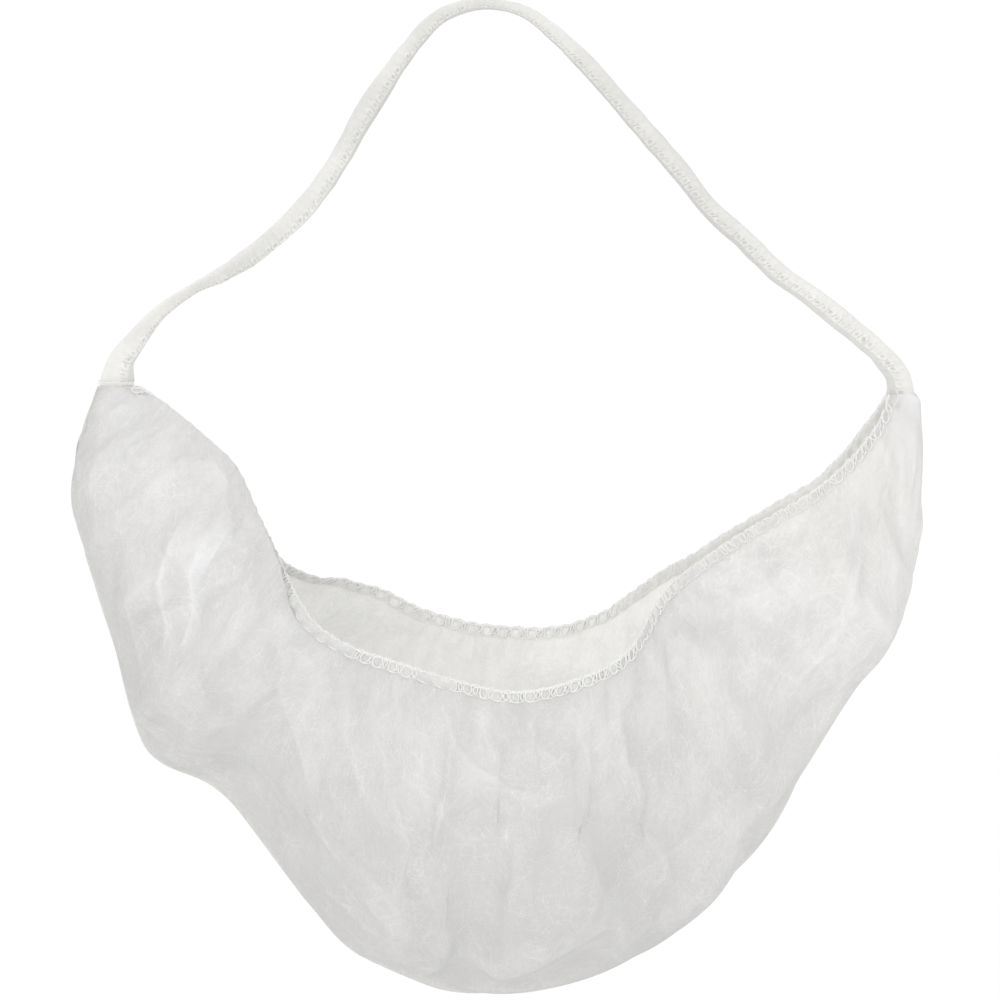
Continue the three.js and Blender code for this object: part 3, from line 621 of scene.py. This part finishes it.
class Finish:
    """A material in the making. add() makes any node: its settings come first, then its sockets."""

    def __init__(self, name):
        self.material = bpy.data.materials.new(name)
        self.material.use_nodes = True
        self.tree = self.material.node_tree
        self.tree.nodes.clear()

    def add(self, kind, settings, sockets, output=0):
        node = self.tree.nodes.new(kind)
        for name, value in settings.items():
            setattr(node, name, value)
        for name, value in sockets.items():
            if isinstance(value, Wire):
                self.tree.links.new(value.socket, node.inputs[name])
            else:
                node.inputs[name].default_value = value
        return Wire(self, node.outputs[output]) if node.outputs else None

    def place(self):
        """Where a point lies on the flat cloth or thread, in metres."""
        return self.add("ShaderNodeUVMap", {"uv_map": "flat"}, {})

    def blend(self, share, first, second):
        """A colour between two, by a share."""
        settings = {"data_type": "RGBA", "clamp_factor": True}
        return self.add("ShaderNodeMix", settings, {0: share, 6: first, 7: second}, output=2)

    def raised(self, height):
        """The surface's direction over relief that is given in metres."""
        return self.add("ShaderNodeBump", {}, {"Strength": 1.0, "Distance": 1.0, "Height": height})

    def cloudy(self, place, size, detail=2.0, rough=0.5):
        """Soft noise from 0 to 1, with clouds of about size metres."""
        sockets = {"Vector": place, "Scale": 1 / size, "Detail": detail, "Roughness": rough}
        return self.add("ShaderNodeTexNoise", {}, sockets)

    def laid_on(self, piece, surface):
        self.add("ShaderNodeOutputMaterial", {}, {"Surface": surface})
        piece.data.materials.clear()
        piece.data.materials.append(self.material)


def strands(finish, place, turn, length, spacing, thin):
    """Fine fibres that wander along one direction: 1 on a fibre and 0 between them."""
    settings = {"vector_type": "TEXTURE"}
    sockets = {"Vector": place, "Rotation": (0, 0, turn), "Scale": (length, spacing, 1)}
    turned = finish.add("ShaderNodeMapping", settings, sockets)
    wander = finish.add("ShaderNodeTexNoise", {}, {"Vector": turned, "Scale": 1.0, "Detail": 1.0})
    return 1 - abs(wander - 0.5).rising(0, thin)


# Spunbond: endless fibres laid at random and welded, so it is cloudy, with thick and thin places
spunbond = Finish("spunbond_nonwoven")
lie = spunbond.place()
curl = spunbond.add("ShaderNodeTexNoise", {}, {"Vector": lie, "Scale": 90.0, "Detail": 1.0}, output=1)
shift = spunbond.add("ShaderNodeVectorMath", {"operation": "SCALE"}, {"Vector": curl, "Scale": 0.0035})
bent = spunbond.add("ShaderNodeVectorMath", {"operation": "ADD"}, {0: lie, 1: shift})
fibres = 0
fibre_runs = ((0.2, 0.026, 0.0009), (0.75, 0.019, 0.0008), (1.3, 0.03, 0.001),
              (1.85, 0.017, 0.0008), (2.4, 0.024, 0.0009), (2.95, 0.02, 0.0008))
for turn, length, spacing in fibre_runs:
    fibres = fibres + strands(spunbond, bent, turn, length, spacing, 0.024)
tufts = spunbond.cloudy(lie, 0.016, 2.0).rising(0.36, 0.66)
fibres = fibres * (0.6 + 0.4 * tufts)
clouds = spunbond.cloudy(bent, 0.013, 5.0, 0.62).rising(0.3, 0.7)
patches = spunbond.cloudy(lie, 0.04, 2.0).rising(0.3, 0.7)
# The white attribute carries doubled cloth and also painted light and painted shade
white = spunbond.add("ShaderNodeAttribute", {"attribute_name": "white"}, {}, output=2)
back_wall = spunbond.add("ShaderNodeAttribute", {"attribute_name": "back_wall"}, {}, output=2)
grain = spunbond.cloudy(lie, 0.0016, 3.0, 0.7).rising(0.3, 0.7)
weight = white * 0.46 + clouds * 0.2 + patches * 0.14 + fibres * 0.24 + grain * 0.16 - 0.14
tint = spunbond.cloudy(lie, 0.06, 2.0).rising(0.38, 0.62)
light = spunbond.blend(tint, (0.965, 0.955, 0.936, 1), (0.955, 0.945, 0.956, 1))
outside = spunbond.blend(weight, (0.59, 0.586, 0.582, 1), light)
inside = spunbond.blend(weight, (0.62, 0.613, 0.575, 1), (0.965, 0.957, 0.912, 1))
relief = fibres * 0.00003 + clouds * 0.0001
bump = spunbond.raised(relief)
skin = spunbond.add("ShaderNodeBsdfPrincipled", {}, {
    "Base Color": spunbond.blend(back_wall, outside, inside),
    "Roughness": 0.75 - fibres * 0.1,
    "Alpha": 0.86 + weight * 0.1,
    "Normal": bump,
    "Specular IOR Level": 0.3,
})
glow = spunbond.add("ShaderNodeBsdfTranslucent", {}, {"Color": (0.86, 0.858, 0.852, 1), "Normal": bump})
spunbond.laid_on(pouch, spunbond.add("ShaderNodeMixShader", {}, {0: 0.42, 1: skin, 2: glow}))

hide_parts("net_pouch")
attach(pouch, "root")


# The two rims. Along each, a narrow elastic is stitched over the raw edge with an overlock machine, whose
# bulky thread stands round it in open loops, wide and narrow in turn. The elastic draws the cloth together.

edge_tall = 0.0035
edge_thick = 0.0017
thread = 0.00024
thread_sides = 6
core_steps = 640
core_sides = 10
stitch_pitch = 0.0049
tighter_by = 0.0021


def tubes(paths, facing, radius, sides, closed):
    """Round threads along many paths of equally many points. facing lies across each path."""
    if closed:
        along = np.roll(paths, -1, axis=1) - np.roll(paths, 1, axis=1)
    else:
        along = np.gradient(paths, axis=1)
    along = unit(along)
    facing = np.broadcast_to(facing, paths.shape)
    across = unit(np.cross(along, facing))
    facing = np.cross(across, along)
    turn = np.arange(sides) * 2 * math.pi / sides
    ring = across[:, :, None] * np.cos(turn)[:, None] + facing[:, :, None] * np.sin(turn)[:, None]
    points = paths[:, :, None] + ring * radius
    count, length = paths.shape[:2]
    corner = np.arange(count * length * sides).reshape(count, length, sides)
    if closed:
        corner = np.concatenate([corner, corner[:, :1]], axis=1)
    corner = np.concatenate([corner, corner[:, :, :1]], axis=2)
    a, b = corner[:, :-1, :-1], corner[:, 1:, :-1]
    c, d = corner[:, 1:, 1:], corner[:, :-1, 1:]
    faces = np.stack([a, b, c, d], -1).reshape(-1, 4)
    run = np.linalg.norm(np.diff(paths, axis=1), axis=-1)
    run = np.concatenate([np.zeros((count, 1)), np.cumsum(run, axis=1)], axis=1)
    run += np.arange(count)[:, None] * 0.013
    flat = np.stack([np.broadcast_to(run[:, :, None], points.shape[:3]),
                     np.broadcast_to(turn * radius, points.shape[:3])], -1)
    return points.reshape(-1, 3), faces, flat.reshape(-1, 2)


def joined(parts):
    """Several runs of points, faces and flat places as one."""
    starts = np.cumsum([0] + [len(points) for points, _, _ in parts[:-1]])
    points = np.concatenate([points for points, _, _ in parts])
    faces = np.concatenate([faces + start for (_, faces, _), start in zip(parts, starts)])
    return points, faces, np.concatenate([flat for _, _, flat in parts])


def evenly(run, path, *others):
    """Points at the lengths run along a path, with the other directions read at the same places."""
    length = np.concatenate([[0], np.cumsum(np.linalg.norm(np.diff(path, axis=0), axis=-1))])
    return [np.stack([np.interp(run, length, values[:, axis]) for axis in range(3)], -1)
            for values in (path, *others)]


def path_length(path):
    return np.linalg.norm(np.diff(path, axis=0), axis=-1).sum()


def stitch_loops(middle, along, tall, face, wide, high, lean, points=14):
    """Overlock loops standing on a run of places, each an oval that leans a little and bellies outwards."""
    turn = np.arange(points) * 2 * math.pi / points
    sideways = np.cos(turn) * wide[:, None] / 2 + np.sin(turn) * lean[:, None]
    upward = np.sin(turn) * high[:, None] / 2
    belly = np.cos(turn) ** 2 * thread * 0.8
    return (middle[:, None] + along[:, None] * sideways[..., None] + tall[:, None] * upward[..., None]
            + face[:, None] * belly[..., None])


def overlocked_rim(name, node, side, chance):
    """An elastic rim with its stitches, standing on the front (-1) or back (1) edge of the cloth."""
    edge = rims[side]
    tall = rim_direction(side)
    centre = edge + tall * (0.0003 + edge_tall / 2)
    along = unit(np.gradient(shared_out(centre[:, None], 2)[:, 0], axis=0))
    face = unit(np.cross(along, tall))
    face *= np.sign((face[:, 1] * side).mean())
    length = path_length(centre)

    # The elastic: a thin cord under the outer edge of the loops, crimped by each stitch
    steps = np.linspace(0, length, core_steps)
    middle, up, out = evenly(steps, centre, tall, face)
    turn = np.arange(core_sides) * 2 * math.pi / core_sides
    crimp = 1 + 0.12 * np.sin(2 * math.pi * steps / 0.0024)[:, None]
    core = (middle[:, None] + up[:, None] * ((0.36 + 0.13 * np.cos(turn)) * edge_tall * crimp)[..., None]
            + out[:, None] * (np.sin(turn) * edge_thick * 0.3 * crimp)[..., None])
    core_flat = np.stack(np.broadcast_arrays(steps[:, None], turn * edge_tall / 4), -1).reshape(-1, 2)
    parts = [(core.reshape(-1, 3), grid_faces(core_steps, core_sides, round_rows=True), core_flat)]

    # The loops: wide ones about 5 mm apart in the middle, closer where the rim is drawn in tighter
    run = 0.002
    places = []
    while run < length - 0.004:
        tight = eased(np.array(run / length), 0.55, 0.7) * (1 - eased(np.array(run / length), 0.8, 0.9))
        pitch = (stitch_pitch - tighter_by * float(tight)) * chance.uniform(0.86, 1.14)
        places.append((run, pitch))
        run += pitch
    places = np.array(places)
    for offset, share_wide, share_high in ((0.0, 0.6, 1.0), (0.5, 0.26, 0.6)):
        middle, line, up, out = evenly(places[:, 0] + offset * places[:, 1], centre, along, tall, face)
        count = len(places)
        wide = places[:, 1] * share_wide * chance.uniform(0.8, 1.15, count)
        high = edge_tall * share_high * chance.uniform(0.9, 1.08, count)
        lean = chance.normal(0, 0.0003, count)
        for which in (1, -1):
            stand = middle + out * which * edge_thick * 0.3
            loops = stitch_loops(stand, line, up, out * which, wide, high, lean)
            parts.append(tubes(loops, out[:, None] * which, thread, thread_sides, closed=True))

    # The threads that join the loops: one along the outer edge and one through the cloth on each face
    steps = np.linspace(0.0005, length - 0.0005, 900)
    middle, up, out = evenly(steps, centre, tall, face)
    bob = np.sin(2 * math.pi * steps / stitch_pitch + 0.8 * np.sin(steps * 210))
    for height, depth, radius in ((0.46, 0.0, 0.9), (-0.44, 0.3, 0.7), (-0.44, -0.3, 0.7)):
        line = middle + up * (edge_tall * (height + 0.08 * bob))[:, None]
        line = line + out * (edge_thick * (depth + 0.1 * np.roll(bob, 20)))[:, None]
        parts.append(tubes(line[None], out[None], thread * radius, thread_sides, closed=False))

    rim = new_piece(name, *joined(parts))
    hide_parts(node)
    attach(rim, "root")
    return rim


front_rim = overlocked_rim("front_rim_stitching", "front_edge_elastic", -1, np.random.default_rng(21))
back_rim = overlocked_rim("back_rim_stitching", "back_edge_elastic", 1, np.random.default_rng(22))


def bulky_thread(name, light, dark):
    """Soft crimped thread: its plies twist round it and its fibres stand off a little."""
    finish = Finish(name)
    place = finish.place()
    twisted = finish.add("ShaderNodeMapping", {"vector_type": "POINT"}, {
        "Vector": place, "Rotation": (0, 0, 0.5)})
    plies = finish.add("ShaderNodeTexWave", {"wave_type": "BANDS"}, {
        "Vector": twisted, "Scale": 900.0, "Distortion": 3.0, "Detail": 2.0}, output=1)
    fuzz = finish.cloudy(place, 0.0012, 3.0, 0.7)
    relief = plies * 0.00002 + fuzz * 0.00002
    bump = finish.raised(relief)
    surface = finish.add("ShaderNodeBsdfPrincipled", {}, {
        "Base Color": finish.blend(plies * 0.4 + fuzz * 0.6, dark, light),
        "Roughness": 0.7 + fuzz * 0.2,
        "Alpha": 0.85,
        "Normal": bump,
        "Specular IOR Level": 0.3,
    })
    glow = finish.add("ShaderNodeBsdfTranslucent", {}, {"Color": light, "Normal": bump})
    return finish, finish.add("ShaderNodeMixShader", {}, {0: 0.15, 1: surface, 2: glow})


overlock_thread, overlock_surface = bulky_thread(
    "overlock_thread", (0.975, 0.972, 0.957, 1), (0.93, 0.927, 0.912, 1))
overlock_thread.laid_on(front_rim, overlock_surface)
back_rim.data.materials.append(overlock_thread.material)


# The head loop. A flat elastic is folded into a strip of the same nonwoven and stitched down its middle, so
# the cover is drawn into close cross ribs. Its ends are sewn to the two corners of the pouch.

loop_width = 0.0074
loop_thick = 0.0013
loop_rise = 0.121
loop_steps = 1300
strip_sides = 36
rib_pitch = 0.0015
rib_height = 0.0002
ring_pitch = 0.0027
left_end_low = 0.0028
right_end_low = 0.0024

# The strip's route. x runs from one sewn end to the other, z is in loop rises above the corners, y is in
# half depths, wide is in strip widths, and twist is how far the strip turns its face, in degrees.
loop_columns = ("x", "z", "y", "wide", "twist")
loop_rows = (
    (-0.003, 0.0248, 0.0, 1.46, 0),
    (0.003, 0.07, 0.0, 1.12, 8),
    (0.016, 0.115, 0.02, 1.0, 27),
    (0.043, 0.188, 0.05, 1.0, 42),
    (0.084, 0.247, 0.09, 1.0, 55),
    (0.124, 0.287, 0.12, 1.0, 42),
    (0.166, 0.342, 0.14, 1.0, 22),
    (0.212, 0.423, 0.15, 1.0, 8),
    (0.247, 0.506, 0.15, 1.0, 12),
    (0.277, 0.6, 0.14, 1.0, 16),
    (0.300, 0.688, 0.12, 1.0, 10),
    (0.329, 0.784, 0.09, 1.0, 28),
    (0.359, 0.873, 0.06, 1.0, 38),
    (0.391, 0.946, 0.03, 1.0, 42),
    (0.427, 0.985, 0.01, 1.0, 48),
    (0.468, 1.0, 0.0, 1.0, 53),
    (0.513, 0.983, -0.02, 0.98, 50),
    (0.549, 0.934, -0.05, 0.95, 42),
    (0.591, 0.855, -0.09, 0.92, 32),
    (0.630, 0.767, -0.12, 0.9, 22),
    (0.674, 0.665, -0.14, 0.88, 16),
    (0.714, 0.571, -0.15, 0.87, 14),
    (0.750, 0.477, -0.15, 0.87, 14),
    (0.793, 0.396, -0.14, 0.87, 12),
    (0.837, 0.307, -0.12, 0.89, 8),
    (0.880, 0.242, -0.09, 0.9, 6),
    (0.925, 0.166, -0.06, 0.9, 4),
    (0.963, 0.098, -0.03, 0.92, 2),
    (0.988, 0.035, 0.0, 1.1, 0),
    (0.995, -0.0136, 0.0, 1.4, 0),
)
loop_route = dict(zip(loop_columns, np.array(loop_rows).T))
loop_route["at"] = np.linspace(0, 1, len(loop_rows))
left_end = (-0.84 * half_width + 0.0038 - 0.905 * half_width) / 2
right_end = (0.97 * half_width - 0.0038 + 1.02 * half_width) / 2


def loop_value(column, at):
    """One column of the strip's route, read at shares of its length."""
    return read_rows(loop_route["at"], loop_route[column], at)


share = np.linspace(0, 1, loop_steps)
left_flank = eased(share, 0.02, 0.12) * (1 - eased(share, 0.42, 0.5))
loop_line = np.stack([
    left_end + (right_end - left_end) * (loop_value("x", share) + 0.008 * left_flank),
    loop_value("y", share) * half_depth,
    corner_height + loop_value("z", share) * loop_rise,
], -1)
loop_line[:, 2] -= left_end_low * (1 - eased(share, 0, 0.03)) + right_end_low * eased(share, 0.97, 1)
loop_along = unit(np.gradient(loop_line, axis=0))
in_plane = unit(np.cross((0, 1, 0), loop_along))
level = np.stack([np.sign(in_plane[:, 0]), np.zeros(loop_steps), np.zeros(loop_steps)], -1)
near_end = np.clip(1 - np.minimum(share, 1 - share) * 15, 0, 1)[:, None]
flat_side = unit(in_plane + (level - in_plane) * near_end)
twist = np.radians(loop_value("twist", share))[:, None]
loop_tall = unit(flat_side * np.cos(twist) + np.array((0, 1, 0)) * np.sin(twist))
loop_face = unit(np.cross(loop_along, loop_tall))
narrower = 0.12 * np.exp(-(((share - 0.27) / 0.07) ** 2)) + 0.2 * eased(share, 0.96, 1)
loop_half = loop_width * (loop_value("wide", share) - narrower) / 2
run = np.concatenate([[0], np.cumsum(np.linalg.norm(np.diff(loop_line, axis=0), axis=-1))])

# The strip's section, from its inner margin round to its outer margin and back, as shares of its half sizes
around_strip = np.linspace(0, 2 * math.pi, strip_sides, endpoint=False)
across = np.sign(np.cos(around_strip)) * np.abs(np.cos(around_strip)) ** 0.8
deep_share = np.sign(np.sin(around_strip)) * np.abs(np.sin(around_strip)) ** 0.45
ribbed = 0.15 + 0.85 * np.exp(-(((share - 0.2) / 0.07) ** 2)) + 0.3 * np.exp(-(((share - 0.9) / 0.12) ** 2))
rib_beat = run[:, None] / rib_pitch + 0.55 * np.sin(across * 2.6) + 0.3 * np.sin(run[:, None] * 190)
rib = np.sin(2 * math.pi * rib_beat)
middle_band = eased(1 - np.abs(across + 0.05), 0.12, 0.4)
depth = loop_thick / 2 * deep_share * (0.72 + 0.28 * middle_band)
depth = depth + rib_height * rib * ribbed[:, None] * middle_band * np.sign(deep_share)
edge_wave = 1 + 0.03 * np.sin(run * 420 + 2 * np.sin(run * 130)) + 0.03 * np.sin(run * 160)
off_middle = loop_half[:, None] * across * edge_wave[:, None]
strip = (loop_line[:, None] + loop_tall[:, None] * off_middle[..., None]
         + loop_face[:, None] * depth[..., None])

# The stitches run inside the inner margin on the left flank and nearer the middle elsewhere. The second
# flat coordinate is the way across the strip from their line.
stitch_line = np.interp(share, (0, 0.1, 0.22, 0.3, 0.45, 0.5, 0.56, 0.7, 0.78, 1),
                        (0.3, 0.66, 0.66, 0.3, 0.3, -0.1, 0.3, 0.3, 0.1, 0.0))
strip_flat = np.stack(np.broadcast_arrays(
    run[:, None], loop_half[:, None] * (across - stitch_line[:, None])), -1).reshape(-1, 2)
strip_faces = grid_faces(loop_steps, strip_sides, round_rows=True)
head_loop = new_piece("head_loop_strip", strip.reshape(-1, 3), strip_faces, strip_flat)

# Its face: a chain of stitch rings with a needle hole in each, ribs outside them and a flat margin inside.
# The holes, the spots between the rings and the inner margin are painted darker: painted shade.
folded = Finish("folded_strip")
place = folded.place()
along_strip = folded.add("ShaderNodeSeparateXYZ", {}, {0: place})
from_line = folded.add("ShaderNodeSeparateXYZ", {}, {0: place}, output=1) * 1000
straying = folded.cloudy(place, 0.003, 2.0) - 0.5
uneven = 0.15 + 0.95 * folded.cloudy(place, 0.006, 2.0).rising(0.35, 0.65)
beat = along_strip * (1 / ring_pitch) + from_line * 0.13 + straying * 0.9
off_along = (beat.maths("FRACT", beat) - 0.5) * (ring_pitch * 1000)
off_across = from_line + straying * 1.8
distance = (off_along**2 + off_across**2 * 0.8) ** 0.5
hole = (1 - distance.rising(0.15, 0.7)) * uneven
ring = (1 - abs(distance - 1).rising(0.05, 0.42)) * uneven
shadow_between_rings = distance.rising(1.15, 1.45) * (1 - abs(off_across).rising(0.5, 1.1))
ribs = beat.maths("SINE", beat * (2 * math.pi)) * 0.5 + 0.5
outer = (0 - from_line).rising(0.8, 1.6) * (1 - (0 - from_line).rising(2.6, 3.6))
fuzz = folded.cloudy(place, 0.0014, 4.0, 0.7)
ply = folded.cloudy(place, 0.009, 2.0).rising(0.3, 0.7)
margin_painted_shade = from_line.rising(0.9, 1.7)
relief = ring * 0.00012 + ribs * outer * 0.00006 + fuzz * 0.00004 - hole * 0.00014 - shadow_between_rings * 0.0001
bump = folded.raised(relief)

# Some stretches are painted greyer: painted shade along the strip, standing in for how its turning flanks
# meet the light
painted_shade_along = (0.14 - along_strip.rising(0.012, 0.034) * 0.14
          + along_strip.rising(0.045, 0.055) * 0.24 + along_strip.rising(0.1, 0.115) * 0.2
          - along_strip.rising(0.122, 0.135) * 0.24 + along_strip.rising(0.19, 0.22) * 0.22
          - along_strip.rising(0.27, 0.31) * 0.24)
# Painted shade: the needle holes, the spots between the rings and the inner margin are darker
shade = (0.56 - painted_shade_along + ring * 0.42 + fuzz * 0.34 + ply * 0.16 + ribs * outer * 0.12
         - margin_painted_shade * 0.45 - hole * 0.75 - shadow_between_rings * 0.5)
surface = folded.add("ShaderNodeBsdfPrincipled", {}, {
    "Base Color": folded.blend(shade, (0.6, 0.597, 0.582, 1), (0.94, 0.935, 0.914, 1)),
    "Roughness": 0.7 + fuzz * 0.2,
    "Normal": bump,
    "Specular IOR Level": 0.3,
})
glow = folded.add("ShaderNodeBsdfTranslucent", {}, {"Color": (0.93, 0.926, 0.905, 1), "Normal": bump})
folded.laid_on(head_loop, folded.add("ShaderNodeMixShader", {}, {0: 0.4, 1: surface, 2: glow}))
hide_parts("head_loop")
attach(head_loop, "root")


# The left end seam. A short dense row of the same overlock stitches runs across the corner, where the
# loop's end, the two rims and the folded cloth are sewn together.

seam_low, seam_high = (np.array(corner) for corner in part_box("left_end_seam"))
seam_size = seam_high - seam_low
seam_middle = (seam_low + seam_high) / 2
bar_steps = 60
bar_sides = 10
seam_steps = np.linspace(-0.47, 0.3, bar_steps)
turn = np.arange(bar_sides) * 2 * math.pi / bar_sides
bar = (seam_middle + np.array((1, 0, 0)) * (seam_steps * seam_size[0])[:, None, None]
       + np.array((0, 1, 0)) * (np.sin(turn) * seam_size[1] * 0.3)[:, None]
       + np.array((0, 0, 1)) * (np.cos(turn) * seam_size[2] * 0.1)[:, None])
bar_flat = np.stack(np.broadcast_arrays((seam_steps * seam_size[0])[:, None], turn * 0.001), -1)
bar_flat = bar_flat.reshape(-1, 2)
seam_parts = [(bar.reshape(-1, 3), grid_faces(bar_steps, bar_sides, round_rows=True), bar_flat)]
seam_chance = np.random.default_rng(8)
for which in (-1, 1):
    places = np.arange(-0.44, 0.35, 0.11)
    count = len(places)
    middle = seam_middle + np.outer(places * seam_size[0], (1, 0, 0))
    middle = middle + np.array((0, which * seam_size[1] * 0.4, 0))
    line = np.tile((1.0, 0.0, 0.0), (count, 1))
    tall = np.tile((0.0, 0.0, 1.0), (count, 1))
    face = np.tile((0.0, which, 0.0), (count, 1))
    wide = seam_size[0] * 0.1 * seam_chance.uniform(0.85, 1.15, count)
    high = seam_size[2] * 0.24 * seam_chance.uniform(0.85, 1.1, count)
    lean = seam_chance.normal(0, 0.0002, count)
    loops = stitch_loops(middle, line, tall, face, wide, high, lean, points=12)
    seam_parts.append(tubes(loops, face[:, None], thread * 0.7, thread_sides, closed=True))
end_seam = new_piece("left_end_stitches", *joined(seam_parts))
end_seam.data.materials.append(overlock_thread.material)
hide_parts("left_end_seam")
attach(end_seam, "root")


# The studio. The net hangs over a wide pale floor in even light from the upper left front, and the camera
# looks slightly down at it through a long lens.

floor_height = cad_low[2] - 0.2
floor_half = 15
floor_corners = [(-floor_half, -floor_half, floor_height), (floor_half, -floor_half, floor_height),
                 (floor_half, floor_half, floor_height), (-floor_half, floor_half, floor_height)]
floor = new_piece("studio_floor", floor_corners, [(0, 1, 2, 3)])
paper = Finish("studio_paper")
grain = paper.add("ShaderNodeTexNoise", {}, {"Scale": 4.0, "Detail": 2.0})
paper.laid_on(floor, paper.add("ShaderNodeBsdfPrincipled", {}, {
    "Base Color": paper.blend(grain, (0.96, 0.96, 0.96, 1), (0.98, 0.98, 0.98, 1)),
    "Roughness": 0.9,
    "Specular IOR Level": 0.0,
}))

world = bpy.data.worlds.new("studio_air")
world.use_nodes = True
world.node_tree.nodes["Background"].inputs["Color"].default_value = (1, 1, 1, 1)
world.node_tree.nodes["Background"].inputs["Strength"].default_value = 0.75
bpy.context.scene.world = world


def sun(name, azimuth, elevation, strength, spread):
    """A soft far light. Azimuth is to the right of the front, in degrees."""
    data = bpy.data.lights.new(name, "SUN")
    data.energy = strength
    data.angle = math.radians(spread)
    light = bpy.data.objects.new(name, data)
    light.rotation_euler = (math.radians(90 - elevation), 0, math.radians(azimuth))
    bpy.context.scene.collection.objects.link(light)


sun("key_light", -22, 18, 1.0, 30)
sun("fill_light", 50, 35, 0.4, 40)
sun("back_light", 180, 45, 0.6, 40)

photo_pixels = 1000
camera_distance = 6.0
sensor = 36
target = np.array((0.00434, 0.0, -0.1542))
camera_data = bpy.data.cameras.new("camera")
camera_data.sensor_width = sensor
camera_data.lens = sensor * camera_distance / (photo_pixels * photo_pixel)
camera = bpy.data.objects.new("camera", camera_data)
back = np.array((0, -math.cos(view_pitch), math.sin(view_pitch)))
camera.location = target + back * camera_distance
camera.rotation_euler = (math.pi / 2 - view_pitch, 0, 0)
bpy.context.scene.collection.objects.link(camera)
bpy.context.scene.camera = camera
bpy.context.scene.view_settings.view_transform = "Standard"
